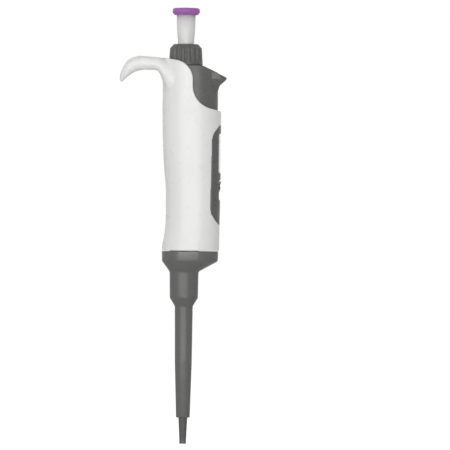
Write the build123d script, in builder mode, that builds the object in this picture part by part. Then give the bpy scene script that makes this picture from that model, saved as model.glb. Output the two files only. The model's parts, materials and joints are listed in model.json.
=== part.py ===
from build123d import *
from math import acos, cos, pi, radians, sin, sqrt, tan
import os

# Single-channel air-displacement pipette with adjustable volume, 20 to 200 microlitres, in millimetres.
# +Z runs up the plunger's axis, +X points to the volume window and the ejector's thumb pad, and the
# finger hook points to -X. The origin is the centre of the tip cone's open end.

# ---------------------------------------------------------------- volume and strokes
volume_per_turn = 20.0  # microlitres for one turn of the knob
volume_low, volume_shown, volume_high = 20.0, 110.0, 200.0
spindle_pitch = 1.0  # axial travel of the spindle for one turn of the knob
setting_down = (volume_shown - volume_low) / volume_per_turn * spindle_pitch
setting_up = (volume_high - volume_shown) / volume_per_turn * spindle_pitch
blowout_travel = 4.5
press_travel = volume_shown / volume_per_turn * spindle_pitch + blowout_travel
lock_travel = 4.0

# ---------------------------------------------------------------- clearances
running = 0.05  # round parts that turn or slide in one another, on the radius
sliding = 0.3  # moulded parts that slide past one another
seam = 0.15  # shadow gap round an inserted cover
hair = 0.1  # parts of one body laid against each other
end_play = 0.5  # room left at the end of a travel

# ---------------------------------------------------------------- ejector sleeve and tip cone, outside
cone_land_r, cone_land_length = 1.88, 2.0  # the cylindrical band that seals in a tip
cone_top_r, cone_exposed = 2.46, 14.4
slim_length = 61.2
slim_end_r, slim_mid_r, slim_top_r = 3.8, 4.68, 4.95
shoulder_height = 4.6
barrel_length = 14.4
barrel_low_r, barrel_top_r = 7.76, 7.98
flare_height = 5.8
collar_height = 5.5
collar_low = (-12.2, 18.5, 12.2)  # rear x, front x and half width of the collar's lower edge
collar_top = (-12.4, 18.8, 12.4)
collar_edge, collar_under_edge = 0.5, 1.2
collar_seam = 0.3  # between the resting collar and the handle
sleeve_wall = 0.95
collar_wall = 1.3
link_ledge, link_ledge_lift = 0.9, 1.1

slim_z = cone_exposed
shoulder_z = slim_z + slim_length
barrel_z = shoulder_z + shoulder_height
flare_z = barrel_z + barrel_length
collar_z = flare_z + flare_height
collar_top_z = collar_z + collar_height
handle_z = collar_top_z + collar_seam

# ---------------------------------------------------------------- handle
wall = 1.5
# height above the handle's lower edge, rear x, front x, half width
trunk_sections = (
    (0.0, -12.3, 19.1, 12.7),
    (4.0, -12.1, 19.2, 12.7),
    (8.0, -11.25, 19.25, 12.5),
    (14.0, -10.5, 19.3, 12.3),
    (24.0, -10.3, 19.45, 12.2),
    (34.0, -10.45, 19.6, 12.3),
    (46.0, -11.5, 19.7, 12.6),
    (60.0, -12.3, 19.7, 12.9),
    (74.0, -12.6, 19.7, 13.0),
    (90.0, -12.6, 19.7, 13.0),
    (107.6, -12.6, 19.7, 13.0),
)
trunk_height = trunk_sections[-1][0]
deck_z, deck_thickness = handle_z + 95.3, 4.5
knob_well_gap = 0.7
# the rim's outline in side view: rear end, shoulder corner, neck corner and front end
rim_rear = (-22.0, handle_z + 107.9)
rim_shoulder = (4.0, handle_z + 102.9)
rim_neck = (4.0, handle_z + 80.5)
rim_front = (26.0, handle_z + 75.0)
rim_shoulder_r, rim_neck_r = 11.0, 13.0
# finger hook: outer point, inner point (x, height above the handle's lower edge) and width
hook_sections = (
    ((-6.0, 104.3), (-10.6, 87.6), 17.2),
    ((-10.8, 105.4), (-12.9, 93.7), 18.2),
    ((-15.5, 106.1), (-15.4, 98.75), 18.4),
    ((-20.6, 106.5), (-20.2, 99.4), 17.8),
    ((-26.1, 106.65), (-24.6, 99.2), 16.6),
    ((-31.2, 104.8), (-28.2, 98.1), 15.2),
    ((-34.0, 101.4), (-31.2, 96.2), 13.6),
    ((-35.7, 97.7), (-33.5, 94.1), 11.4),
    ((-36.3, 94.1), (-34.8, 92.7), 8.6),
)
hook_corner_share = 0.42  # corner radius of a hook section over its thickness
hook_rest_x, hook_rest_length, hook_rest_width = -20.6, 5.6, 9.0
hook_rest_z = handle_z + 99.55

# ---------------------------------------------------------------- window panel and lock
panel_width, panel_height = 17.8, 54.8
panel_z = handle_z + 41.7  # middle of the panel
panel_flange, panel_flange_thickness = 1.4, 1.0
panel_flange_top_z = handle_z + 64.2
window_width, window_height, window_corner = 8.8, 21.6, 1.4
window_z = handle_z + 53.6  # middle of the window
window_ledge = 0.7
lens_thickness = 1.3
pocket_floor_x = 18.85
pocket_width, pocket_web = 11.4, 1.3
pocket_rake = 0.7  # rise of the pocket's ends for each millimetre of depth
lock_z = handle_z + 32.4  # lower edge of the lock's grip at rest
lock_height, lock_width, lock_proud = 5.8, 6.8, 1.0
lock_teeth, lock_tooth_rise = 2, 0.9  # share of a tooth's height below its tip
lock_neck_width, lock_neck_height = 2.6, 3.4
lock_plate_thickness, lock_plate_height = 1.1, 8.0

# ---------------------------------------------------------------- knob and drive sleeve
knob_z = handle_z + 102.0
knob_height = 11.6
knob_low_r, knob_high_r, knob_top_r = 9.35, 8.75, 6.6
knob_shoulder_drop = 2.4
knob_wall_top = 2.8
knob_dish_depth = 0.6
flute_count, flute_r, flute_depth, flute_length = 18, 1.0, 0.75, 12.0
flute_low = 2.6  # from the knob's lower edge to the flutes' lower ends
sleeve_head_r, sleeve_journal_r, sleeve_tail_r = 7.2, 6.3, 5.8
stem_bore_r, stem_guide_r = 5.5, 5.15
spline_r, spline_slot_r, spline_width, spline_count = 4.3, 5.0, 1.8, 3
bush_wall, bush_flange_r, bush_flange_height = 0.9, 8.2, 0.8
clip_r, clip_thickness = 7.6, 0.8

# ---------------------------------------------------------------- button and push rod
cap_r, cap_height, cap_edge, cap_under_edge = 7.7, 4.2, 1.7, 1.5
cap_rise = 15.9  # from the knob's top to the cap's underside at rest
stem_top_r, stem_middle_r, stem_low_r, stem_wall = 5.2, 5.0, 4.35, 1.3
stem_middle_rise = 7.6  # from the knob's top to where the stem's taper eases
stem_plug = 2.6  # closed lower end that the push rod fits in
stem_hidden = 9.8  # reach of the stem into the knob at rest
rod_r = 1.5
rod_collar_r, rod_collar_height = 4.2, 2.6

# ---------------------------------------------------------------- counter
gear_module = 0.48
drive_teeth, pinion_teeth = 30, 15
dedendum, root_relief = 1.25, 0.25  # for each millimetre of module
flank_steps = 3
pressure_angle = 20.0
gear_backlash = 0.12
gear_width = 4.0
gear_z = handle_z + 67.4
counter_x = gear_module * (drive_teeth + pinion_teeth) / 2
counter_shaft_r = 1.0
drum_r, drum_height, drum_gap = 4.85, 5.6, 0.35
drum_rim, drum_web, drum_hub_r = 0.8, 1.2, 2.0
drum_count = 3
counter_plate = 1.2
cheek_y, cheek_thickness, cheek_length = 5.45, 0.9, 5.0
lock_wheel_r, lock_wheel_thickness, lock_wheel_notches = 3.3, 1.6, 20

# ---------------------------------------------------------------- chassis, spindle and nut
core_low_r, core_high_r, core_wall = 7.0, 5.6, 0.9
core_lip = 0.9  # the core's top over the counter frame
base_z, base_thickness, base_draw = handle_z + 4.3, 2.5, 0.5
thrust_washer_height = 1.2
spindle_r = 2.8
spindle_z = handle_z + 43.8  # lower end of the spindle at rest, where it stops the push rod
spindle_head_z = handle_z + 74.8
spindle_head_height = 6.0
nut_z, nut_height = handle_z + 52.0, 9.0

# ---------------------------------------------------------------- piston, seals and shaft
piston_r = sqrt(volume_per_turn / spindle_pitch / pi)  # sweeps the set volume
piston_z = 56.0
piston_edge = 0.5
piston_head_z = handle_z + 11.8
piston_head_r, piston_head_height, piston_head_skirt_r = 4.7, 3.6, 3.3
cylinder_clearance, cylinder_lip = 0.12, 0.6
air_bore_r = 0.8
shaft_slim_r, shaft_barrel_r, shaft_flange_r = 3.55, 6.3, 7.0
shaft_barrel_wall = 1.0
shoulder_lift = 1.2  # the shaft's shoulder over the sleeve's
seal_z = shoulder_z + 6.6
seal_height = 2.4
o_ring_wire = 1.3
retainer_height, retainer_wall = 3.0, 0.6
shaft_flange_height = 1.8
shaft_top_z = handle_z - 4.2
nut_ring_r, nut_ring_lip, nut_ring_grip = 8.0, 1.4, 6.5

# ---------------------------------------------------------------- springs
return_spring_r, return_wire, return_turns = 4.0, 0.7, 10
blowout_spring_r, blowout_wire, blowout_turns = 5.35, 0.8, 4
blowout_spring_length = 10.0
blowout_ring_height = 2.4
ejector_spring_x, ejector_spring_r, ejector_wire, ejector_turns = 12.4, 2.6, 0.6, 6
spring_post_r, spring_post_height = 1.9, 4.2

# ---------------------------------------------------------------- ejector button and link
button_wall = 1.3
button_skirt_z = handle_z + 74.3
button_rear_x = 0.6
button_top_z = knob_z - 0.3
button_hole_gap = 0.45
pad_start_x, pad_tip = 9.2, (22.7, handle_z + 95.1)
pad_lip, pad_lip_back, pad_rake = 0.9, 0.3, (18.7, handle_z + 90.9)
pad_foot, pad_foot_width = (17.75, handle_z + 87.4), 9.2
pad_width, pad_corner = 15.0, 5.0
pad_roof = 1.8
rail_x, rail_width = 3.5, 6.0
rail_y, rail_thickness = 8.4, 1.1  # inner face
link_plate_thickness = 2.0
rail_top_z = handle_z + 89.8
bridge_z, bridge_thickness = handle_z + 21.0, 3.0
link_pin_r, link_pin_length, link_pin_z = 0.9, 2.5, handle_z + 81.8

# ---------------------------------------------------------------- heights that follow
core_step_z = window_z - drum_count / 2 * drum_height - (drum_count - 1) / 2 * drum_gap
core_step_z = core_step_z - drum_gap - counter_plate
drum_z = core_step_z + counter_plate + drum_gap
counter_top_z = drum_z + drum_count * drum_height + (drum_count - 1) * drum_gap + drum_gap
core_top_z = counter_top_z + counter_plate + core_lip
washer_top_z = core_top_z + thrust_washer_height
core_z = base_z + base_thickness
deck_top_z = deck_z + deck_thickness
sleeve_head_z = deck_top_z + bush_flange_height + hair
knob_roof_z = knob_z + knob_height - knob_wall_top
knob_top_z = knob_z + knob_height
cap_z = knob_top_z + cap_rise
stem_middle_z = knob_top_z + stem_middle_rise
stem_z = knob_top_z - stem_hidden
spline_top_z = spindle_head_z + spindle_head_height + setting_up + end_play
clip_z = deck_z - hair - clip_thickness
bush_r = sleeve_journal_r + running + bush_wall
boss_r = bush_flange_r + hair
seal_top_z = seal_z + seal_height
retainer_z = seal_top_z + o_ring_wire
spring_seat_z = retainer_z + retainer_height
blowout_ring_z = spindle_z - rod_collar_height - press_travel - setting_down - end_play - blowout_ring_height
core_ledge_z = blowout_ring_z - blowout_spring_length
cylinder_z = piston_z - press_travel - setting_down - end_play
rail_low_z = collar_z + link_ledge_lift
rail_centre_y = rail_y + rail_thickness / 2
nut_ring_z = shaft_top_z - shaft_flange_height - nut_ring_lip

os.makedirs("parts", exist_ok=True)


def save(piece, name):
    """Labels a finished sub-part with its node name and writes its STEP file."""
    piece.part.label = name
    export_step(piece.part, f"parts/{name}.step")


def turn(*corners, mode=Mode.ADD):
    """Revolves a closed outline of (radius, height) corners about the plunger's axis."""
    with BuildSketch(Plane.XZ) as half:
        with BuildLine():
            Polyline(*corners, close=True)
        make_face()
    revolve(half.sketch, axis=Axis.Z, mode=mode)


def ring(inner_r, outer_r, low, high, mode=Mode.ADD, x=0.0):
    """Extrudes a plain ring, or a disc when inner_r is 0, standing on height low."""
    with BuildSketch(Plane.XY.offset(low)) as flat:
        with Locations((x, 0)):
            Circle(outer_r)
            if inner_r > 0:
                Circle(inner_r, mode=Mode.SUBTRACT)
    extrude(flat.sketch, amount=high - low, mode=mode)


def slab(x_low, x_high, width, low, high, mode=Mode.ADD):
    """Extrudes a block centred on the plane of symmetry, standing on height low."""
    with BuildSketch(Plane.XY.offset(low)) as flat:
        with Locations(((x_low + x_high) / 2, 0)):
            Rectangle(x_high - x_low, width)
    extrude(flat.sketch, amount=high - low, mode=mode)


def oval(rear, front, half_width, inset=0.0):
    """Draws an ellipse from its rear and front ends and half width, moved in by inset."""
    with Locations(((rear + front) / 2, 0)):
        Ellipse((front - rear) / 2 - inset, half_width - inset)


def trunk(inset):
    """The handle's tapering oval form over its full height, moved in by inset."""
    with BuildPart() as form:
        for height, rear, front, half_width in trunk_sections:
            with BuildSketch(Plane.XY.offset(handle_z + height)):
                oval(rear, front, half_width, inset)
        loft()
    return form.part


def front_prism(width, height, middle_z, depth, corner=None):
    """A prism along X with a rounded front outline, from the plane x = depth outwards."""
    with BuildPart() as prism:
        with BuildSketch(Plane.YZ.offset(depth)):
            with Locations((0, middle_z)):
                if corner is None:
                    SlotOverall(height, width, rotation=90)
                else:
                    RectangleRounded(width, height, corner)
        extrude(amount=trunk_front)
    return prism.part


def coil(radius, wire, turns, low, length, x=0.0):
    """A compression spring as a closed coil between two flat seats."""
    height = length - wire
    with BuildPart() as spring:
        with BuildLine() as path:
            Helix(height / turns, height, radius, center=(x, 0, low + wire / 2))
        with BuildSketch(Plane(origin=path.line @ 0, z_dir=path.line % 0)):
            RegularPolygon(wire / 2, 6)
        sweep(is_frenet=True)
    return spring


trunk_front = max(front for _, _, front, _ in trunk_sections)
outside = trunk(0)
cavity = trunk(wall)

# ---------------------------------------------------------------- handle shell with its finger hook
with BuildPart() as rim_cut:
    with BuildSketch(Plane.XZ):
        with BuildLine():
            Polyline(
                rim_rear, rim_shoulder, rim_neck, rim_front, (rim_front[0], 0), (rim_rear[0], 0), close=True
            )
        make_face()
        fillet(vertices().sort_by_distance(rim_shoulder)[0], radius=rim_shoulder_r)
        fillet(vertices().sort_by_distance(rim_neck)[0], radius=rim_neck_r)
    extrude(amount=trunk_front, both=True)

with BuildPart() as hook:
    for outer, inner, width in hook_sections:
        across = Vector(outer[0] - inner[0], 0, outer[1] - inner[1])
        centre = ((outer[0] + inner[0]) / 2, 0, handle_z + (outer[1] + inner[1]) / 2)
        with BuildSketch(Plane(origin=centre, x_dir=across, z_dir=across.cross(Vector(0, 1, 0)))):
            RectangleRounded(across.length, width, min(across.length, width) * hook_corner_share)
    loft()

with BuildPart() as hollow:
    add(cavity)
    # the deck that carries the knob's bush stays, with the rear wall round the knob's well
    slab(
        -trunk_front, button_rear_x - sliding, 2 * trunk_front, deck_z, handle_z + trunk_height, Mode.SUBTRACT
    )
    ring(0, boss_r, deck_z, deck_top_z, Mode.SUBTRACT)

panel_opening = front_prism(panel_width + 2 * seam, panel_height + 2 * seam, panel_z, counter_x)

with BuildPart() as handle_shell:
    add(outside)
    add(rim_cut.part, mode=Mode.INTERSECT)
    add(hook.part)
    add(hollow.part, mode=Mode.SUBTRACT)
    add(panel_opening, mode=Mode.SUBTRACT)
    ring(0, knob_low_r + knob_well_gap, deck_top_z, handle_z + trunk_height, Mode.SUBTRACT)
    ring(0, bush_r, deck_z, deck_top_z, Mode.SUBTRACT)
    # flat land under the hook, where it rests on a rail
    with BuildSketch(Plane.XY.offset(hook_rest_z)):
        with Locations((hook_rest_x, 0)):
            Rectangle(hook_rest_length, hook_rest_width)
    extrude(amount=-wall, mode=Mode.SUBTRACT)
save(handle_shell, "handle_shell")

# ---------------------------------------------------------------- window panel, lens and volume lock
panel_back = trunk(wall + hair + panel_flange_thickness)
panel_outline = front_prism(panel_width, panel_height, panel_z, counter_x)
flange_outline = front_prism(
    panel_width + 2 * panel_flange, panel_height + 2 * panel_flange, panel_z, counter_x
)
lens_back = trunk(lens_thickness)
lens_seat = front_prism(window_width, window_height, window_z, counter_x, window_corner)
window_hole = front_prism(
    window_width - 2 * window_ledge, window_height - 2 * window_ledge, window_z, counter_x, window_corner
)
track_x = pocket_floor_x - pocket_web
neck_low_z = lock_z + (lock_height - lock_neck_height) / 2
plate_low_z = lock_z + (lock_height - lock_plate_height) / 2
pocket_low_z = lock_z - lock_travel - sliding
pocket_high_z = lock_z + lock_height + sliding

with BuildPart() as panel_room:
    add(cavity)
    slab(0, 2 * trunk_front, 2 * trunk_front, 0, panel_flange_top_z, Mode.SUBTRACT)
    add(panel_back)

with BuildPart() as lens_block:
    add(outside)
    add(lens_back, mode=Mode.SUBTRACT)
    add(lens_seat, mode=Mode.INTERSECT)

with BuildPart() as flange:
    add(trunk(wall + hair))
    add(flange_outline, mode=Mode.INTERSECT)

with BuildPart() as front_panel:
    add(outside)
    add(panel_outline, mode=Mode.INTERSECT)
    add(flange.part)
    add(panel_room.part, mode=Mode.SUBTRACT)
    add(lens_block.part, mode=Mode.SUBTRACT)
    add(window_hole, mode=Mode.SUBTRACT)
    # finger scoop round the lock, with raked ends
    scoop_depth = trunk_front - pocket_floor_x
    with BuildSketch(Plane.XZ):
        with BuildLine():
            Polyline(
                (pocket_floor_x, pocket_low_z),
                (trunk_front, pocket_low_z - scoop_depth * pocket_rake),
                (trunk_front, pocket_high_z + scoop_depth * pocket_rake),
                (pocket_floor_x, pocket_high_z),
                close=True,
            )
        make_face()
    extrude(amount=pocket_width / 2, both=True, mode=Mode.SUBTRACT)
    # slot for the lock's neck and the flat track behind it
    slab(
        counter_x, trunk_front, lock_neck_width + 2 * sliding,
        neck_low_z - lock_travel - end_play, neck_low_z + lock_neck_height + sliding, Mode.SUBTRACT,
    )
    slab(
        counter_x, track_x, lock_width + 2 * sliding,
        plate_low_z - lock_travel - end_play, plate_low_z + lock_plate_height + end_play, Mode.SUBTRACT,
    )
save(front_panel, "front_panel")

with BuildPart() as window_lens:
    add(lens_block.part)
    lens_outline = front_prism(
        window_width - hair, window_height - hair, window_z, counter_x, window_corner - hair / 2
    )
    add(lens_outline, mode=Mode.INTERSECT)
save(window_lens, "window_lens")

with BuildPart() as lock_slider:
    grip_back_x = pocket_floor_x + hair
    tooth_height = lock_height / lock_teeth
    with BuildSketch(Plane.XZ):
        with BuildLine():
            saw = [(grip_back_x, lock_z + lock_height), (grip_back_x, lock_z)]
            for tooth in range(lock_teeth):
                foot = lock_z + tooth * tooth_height
                saw.append((pocket_floor_x + lock_proud / 2, foot))
                saw.append((pocket_floor_x + lock_proud, foot + tooth_height * lock_tooth_rise))
            Polyline(*saw, close=True)
        make_face()
    extrude(amount=lock_width / 2, both=True)
    slab(track_x - hair, grip_back_x, lock_neck_width, neck_low_z, neck_low_z + lock_neck_height)
    slab(
        track_x - hair - lock_plate_thickness, track_x - hair, lock_width,
        plate_low_z, plate_low_z + lock_plate_height,
    )
save(lock_slider, "lock_slider")

# ---------------------------------------------------------------- knob, drive sleeve and bush
with BuildPart() as volume_knob:
    knob_shoulder_z = knob_top_z - knob_shoulder_drop
    turn(
        (sleeve_head_r, knob_z),
        (knob_low_r, knob_z),
        (knob_high_r, knob_shoulder_z),
        (knob_top_r, knob_top_z),
        (stem_bore_r + hair, knob_top_z - knob_dish_depth),
        (stem_bore_r, knob_roof_z),
        (sleeve_head_r, knob_roof_z),
    )
    flute_centre_r = knob_high_r + flute_r - flute_depth
    with PolarLocations(flute_centre_r, flute_count):
        with Locations((0, 0, knob_z + flute_low)):
            Cylinder(
                flute_r, flute_length, align=(Align.CENTER, Align.CENTER, Align.MIN), mode=Mode.SUBTRACT
            )
            Sphere(flute_r, mode=Mode.SUBTRACT)
save(volume_knob, "volume_knob")

with BuildPart() as drive_sleeve:
    turn(
        (stem_guide_r, washer_top_z),
        (sleeve_tail_r, washer_top_z),
        (sleeve_tail_r, deck_z - hair),
        (sleeve_journal_r, deck_z - hair),
        (sleeve_journal_r, sleeve_head_z),
        (sleeve_head_r, sleeve_head_z),
        (sleeve_head_r, knob_roof_z),
        (stem_bore_r, knob_roof_z),
        (stem_bore_r, sleeve_head_z),
        (stem_guide_r, sleeve_head_z),
    )
    ring(spline_r, stem_guide_r, washer_top_z, spline_top_z)
    with BuildSketch(Plane.XY.offset(washer_top_z)):
        with PolarLocations(0, spline_count):
            Rectangle(spline_slot_r, spline_width, align=(Align.MIN, Align.CENTER))
    extrude(amount=spline_top_z - washer_top_z, mode=Mode.SUBTRACT)
save(drive_sleeve, "drive_sleeve")

with BuildPart() as sleeve_clip:
    ring(sleeve_tail_r, clip_r, clip_z, clip_z + clip_thickness)
    slab(-clip_r, 0, sleeve_tail_r, clip_z, clip_z + clip_thickness, Mode.SUBTRACT)
save(sleeve_clip, "sleeve_clip")

with BuildPart() as knob_bush:
    ring(sleeve_journal_r + running, bush_r, deck_z, deck_top_z)
    ring(sleeve_journal_r + running, bush_flange_r, deck_top_z, deck_top_z + bush_flange_height)
save(knob_bush, "knob_bush")

# ---------------------------------------------------------------- gear pair and counter


def gear(teeth, bore_r, low, x=0.0):
    """Extrudes a spur gear with involute flanks thinned by the backlash, one tooth pointing along +X."""
    pitch_r = gear_module * teeth / 2
    base_r = pitch_r * cos(radians(pressure_angle))
    root_r = pitch_r - dedendum * gear_module
    tip_r = pitch_r + gear_module
    base_half = pi / teeth / 2 - gear_backlash / 4 / pitch_r
    base_half += tan(radians(pressure_angle)) - radians(pressure_angle)
    flank = []
    for step in range(flank_steps + 1):
        r = base_r + (tip_r - base_r) * step / flank_steps
        roll = acos(base_r / r)
        half = base_half - (tan(roll) - roll)
        flank.append((r * cos(half), r * sin(half)))
    foot = (root_r * cos(base_half) - root_relief * gear_module, root_r * sin(base_half))
    upper = [foot, *flank]
    lower = [(px, -py) for px, py in reversed(upper)]
    with BuildSketch() as tooth:
        with BuildLine():
            Polyline(*upper, *lower, close=True)
        make_face()
    with BuildSketch(Plane.XY.offset(low)) as flat:
        with Locations((x, 0)):
            Circle(root_r)
            with PolarLocations(0, teeth):
                add(tooth.sketch)
            Circle(bore_r, mode=Mode.SUBTRACT)
    extrude(flat.sketch, amount=gear_width)


with BuildPart() as drive_gear:
    gear(drive_teeth, sleeve_tail_r, gear_z)
save(drive_gear, "drive_gear")

with BuildPart() as counter_pinion:
    gear(pinion_teeth, counter_shaft_r, gear_z, counter_x)
    ring(counter_shaft_r, drum_hub_r, counter_top_z + counter_plate + sliding, gear_z, x=counter_x)
save(counter_pinion, "counter_pinion")

with BuildPart() as counter_shaft:
    shaft_low_z = core_step_z - lock_wheel_thickness - 2 * sliding
    ring(0, counter_shaft_r, shaft_low_z, gear_z + gear_width + sliding, x=counter_x)
save(counter_shaft, "counter_shaft")

with BuildPart() as lock_wheel:
    wheel_z = core_step_z - lock_wheel_thickness - sliding
    ring(counter_shaft_r, lock_wheel_r, wheel_z, wheel_z + lock_wheel_thickness, x=counter_x)
    with Locations((counter_x, 0, wheel_z)):
        with PolarLocations(lock_wheel_r, lock_wheel_notches):
            Cylinder(
                lock_wheel_r * pi / lock_wheel_notches / 2, lock_wheel_thickness,
                align=(Align.CENTER, Align.CENTER, Align.MIN), mode=Mode.SUBTRACT,
            )
save(lock_wheel, "lock_wheel")


def drum(low, bore_r):
    """Extrudes a number drum as a cup round its hub, open at the top."""
    with BuildSketch(Plane.XY.offset(low)) as web:
        with Locations((counter_x, 0)):
            Circle(drum_r)
            Circle(bore_r, mode=Mode.SUBTRACT)
    extrude(web.sketch, amount=drum_web)
    with BuildSketch(Plane.XY.offset(low)) as walls:
        with Locations((counter_x, 0)):
            Circle(drum_r)
            Circle(drum_r - drum_rim, mode=Mode.SUBTRACT)
            Circle(drum_hub_r)
            Circle(bore_r, mode=Mode.SUBTRACT)
    extrude(walls.sketch, amount=drum_height)


# read from the top: hundreds, tens and units of a microlitre
for place, name in enumerate(("units_drum", "tens_drum", "hundreds_drum")):
    with BuildPart() as number_drum:
        fit = running if place else 0
        drum(drum_z + place * (drum_height + drum_gap), counter_shaft_r + fit)
    save(number_drum, name)

with BuildPart() as counter_frame:
    for low in (core_step_z, counter_top_z):
        with BuildSketch(Plane.XY.offset(low)):
            Circle(core_high_r + cheek_thickness)
            with Locations((counter_x - cheek_length / 2, 0)):
                Rectangle(2 * cheek_y, 2 * cheek_y + 2 * cheek_thickness)
            with Locations((counter_x, 0)):
                Circle(drum_r + drum_gap)
            Circle(core_high_r, mode=Mode.SUBTRACT)
            with Locations((counter_x, 0)):
                Circle(counter_shaft_r + running, mode=Mode.SUBTRACT)
        extrude(amount=counter_plate)
    with BuildSketch(Plane.XY.offset(core_step_z)):
        with Locations((counter_x - cheek_length / 2, 0)):
            Rectangle(cheek_length, 2 * (cheek_y + cheek_thickness))
            Rectangle(cheek_length, 2 * cheek_y, mode=Mode.SUBTRACT)
    extrude(amount=counter_top_z - core_step_z)
save(counter_frame, "counter_frame")

# ---------------------------------------------------------------- chassis with its core tube
with BuildPart() as chassis:
    with BuildSketch(Plane.XY.offset(base_z)):
        oval(*trunk_sections[1][1:], wall + seam + base_draw)
        Circle(core_low_r - core_wall, mode=Mode.SUBTRACT)
        for side in (-1, 1):
            with Locations((rail_x, side * rail_centre_y)):
                Rectangle(rail_width + 2 * sliding, rail_thickness + 2 * sliding, mode=Mode.SUBTRACT)
    extrude(amount=base_thickness)
    turn(
        (core_low_r - core_wall, core_z),
        (core_low_r, core_z),
        (core_low_r, core_step_z),
        (core_high_r, core_step_z),
        (core_high_r, core_top_z),
        (core_high_r - core_wall, core_top_z),
        (core_high_r - core_wall, core_step_z - core_wall),
        (core_low_r - core_wall, core_step_z - 2 * core_wall),
    )
    # boss that the shaft's ring nut screws onto
    ring(shaft_barrel_r - shaft_barrel_wall, core_low_r, shaft_top_z, base_z)
    # inner ledge under the blow-out spring
    ring(return_spring_r + return_wire, core_low_r - core_wall, core_ledge_z - core_wall, core_ledge_z)
    # post inside the ejector's spring
    ring(0, spring_post_r, core_z, core_z + spring_post_height, x=ejector_spring_x)
save(chassis, "chassis")

with BuildPart() as thrust_washer:
    ring(spindle_r + sliding, core_high_r + cheek_thickness, core_top_z, washer_top_z)
save(thrust_washer, "thrust_washer")

with BuildPart() as spindle_nut:
    ring(spindle_r + running, core_high_r - core_wall, nut_z, nut_z + nut_height)
save(spindle_nut, "spindle_nut")

with BuildPart() as volume_spindle:
    bore_r = rod_r + running
    ring(bore_r, spindle_r, spindle_z, spindle_head_z)
    ring(bore_r, spline_r - running, spindle_head_z, spindle_head_z + spindle_head_height)
    with BuildSketch(Plane.XY.offset(spindle_head_z)):
        with PolarLocations(0, spline_count):
            Rectangle(spline_slot_r - hair, spline_width - hair, align=(Align.MIN, Align.CENTER))
        Circle(spindle_r, mode=Mode.SUBTRACT)
    extrude(amount=spindle_head_height)
save(volume_spindle, "volume_spindle")

# ---------------------------------------------------------------- button, push rod and piston
with BuildPart() as button_cap:
    with BuildSketch(Plane.XZ):
        with BuildLine():
            cap_top_z = cap_z + cap_height
            Polyline((0, cap_z), (cap_r, cap_z), (cap_r, cap_top_z), (0, cap_top_z), close=True)
        make_face()
        fillet(vertices().group_by(Axis.X)[-1].sort_by(Axis.Y)[-1], radius=cap_edge)
        fillet(vertices().group_by(Axis.X)[-1].sort_by(Axis.Y)[0], radius=cap_under_edge)
    revolve(axis=Axis.Z)
save(button_cap, "button_cap")

with BuildPart() as button_stem:
    turn(
        (0, stem_z),
        (stem_low_r, stem_z),
        (stem_low_r, knob_top_z),
        (stem_middle_r, stem_middle_z),
        (stem_top_r, cap_z),
        (stem_top_r - stem_wall, cap_z),
        (stem_middle_r - stem_wall, stem_middle_z),
        (stem_low_r - stem_wall, knob_top_z),
        (stem_low_r - stem_wall, stem_z + stem_plug),
        (0, stem_z + stem_plug),
    )
save(button_stem, "button_stem")

with BuildPart() as push_rod:
    ring(0, rod_r, piston_head_z + piston_head_height, stem_z)
save(push_rod, "push_rod")

with BuildPart() as rod_collar:
    ring(rod_r, rod_collar_r, spindle_z - rod_collar_height, spindle_z)
save(rod_collar, "rod_collar")

with BuildPart() as piston_head:
    turn(
        (0, piston_head_z),
        (piston_head_skirt_r, piston_head_z),
        (piston_head_skirt_r, piston_head_z + piston_head_height / 2),
        (piston_head_r, piston_head_z + piston_head_height / 2),
        (piston_head_r, piston_head_z + piston_head_height),
        (0, piston_head_z + piston_head_height),
    )
save(piston_head, "piston_head")

with BuildPart() as piston:
    ring(0, piston_r, piston_z, piston_head_z)
    chamfer(piston.faces().sort_by(Axis.Z)[0].edges(), length=piston_edge)
save(piston, "piston")

return_spring = coil(
    return_spring_r, return_wire, return_turns, spring_seat_z,
    piston_head_z + piston_head_height / 2 - spring_seat_z,
)
save(return_spring, "return_spring")

with BuildPart() as blowout_ring:
    ring(rod_r + sliding, core_low_r - core_wall - hair, blowout_ring_z, blowout_ring_z + blowout_ring_height)
save(blowout_ring, "blowout_ring")

blowout_spring = coil(blowout_spring_r, blowout_wire, blowout_turns, core_ledge_z, blowout_spring_length)
save(blowout_spring, "blowout_spring")

# ---------------------------------------------------------------- shaft, seals and ring nut
with BuildPart() as shaft:
    cylinder_r = piston_r + cylinder_clearance
    barrel_in_r = shaft_barrel_r - shaft_barrel_wall
    turn(
        (air_bore_r, 0),
        (cone_land_r, 0),
        (cone_land_r, cone_land_length),
        (cone_top_r, cone_exposed),
        (cylinder_r + cylinder_lip, cylinder_z - shaft_barrel_wall),
        (shaft_slim_r, shoulder_z + shoulder_lift),
        (shaft_barrel_r, barrel_z + shoulder_lift),
        (shaft_barrel_r, shaft_top_z - shaft_flange_height),
        (shaft_flange_r, shaft_top_z - shaft_flange_height),
        (shaft_flange_r, shaft_top_z),
        (barrel_in_r, shaft_top_z),
        (barrel_in_r, seal_z),
        (cylinder_r, seal_z),
        (cylinder_r, cylinder_z),
        (air_bore_r, cylinder_z - cylinder_r + air_bore_r),
    )
save(shaft, "shaft")

with BuildPart() as piston_seal:
    ring(piston_r + running, barrel_in_r, seal_z, seal_top_z)
save(piston_seal, "piston_seal")

with BuildPart() as seal_o_ring:
    with BuildSketch(Plane.XZ):
        with Locations((piston_r + running + o_ring_wire / 2, seal_top_z + o_ring_wire / 2)):
            Circle(o_ring_wire / 2)
    revolve(axis=Axis.Z)
save(seal_o_ring, "seal_o_ring")

with BuildPart() as seal_retainer:
    retainer_top_z = retainer_z + retainer_height
    turn(
        (piston_r + sliding, retainer_z),
        (barrel_in_r, retainer_z),
        (barrel_in_r, retainer_top_z),
        (barrel_in_r - retainer_wall, retainer_top_z),
        (barrel_in_r - retainer_wall, retainer_z + retainer_wall),
        (piston_r + sliding, retainer_z + retainer_wall),
    )
save(seal_retainer, "seal_retainer")

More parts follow.
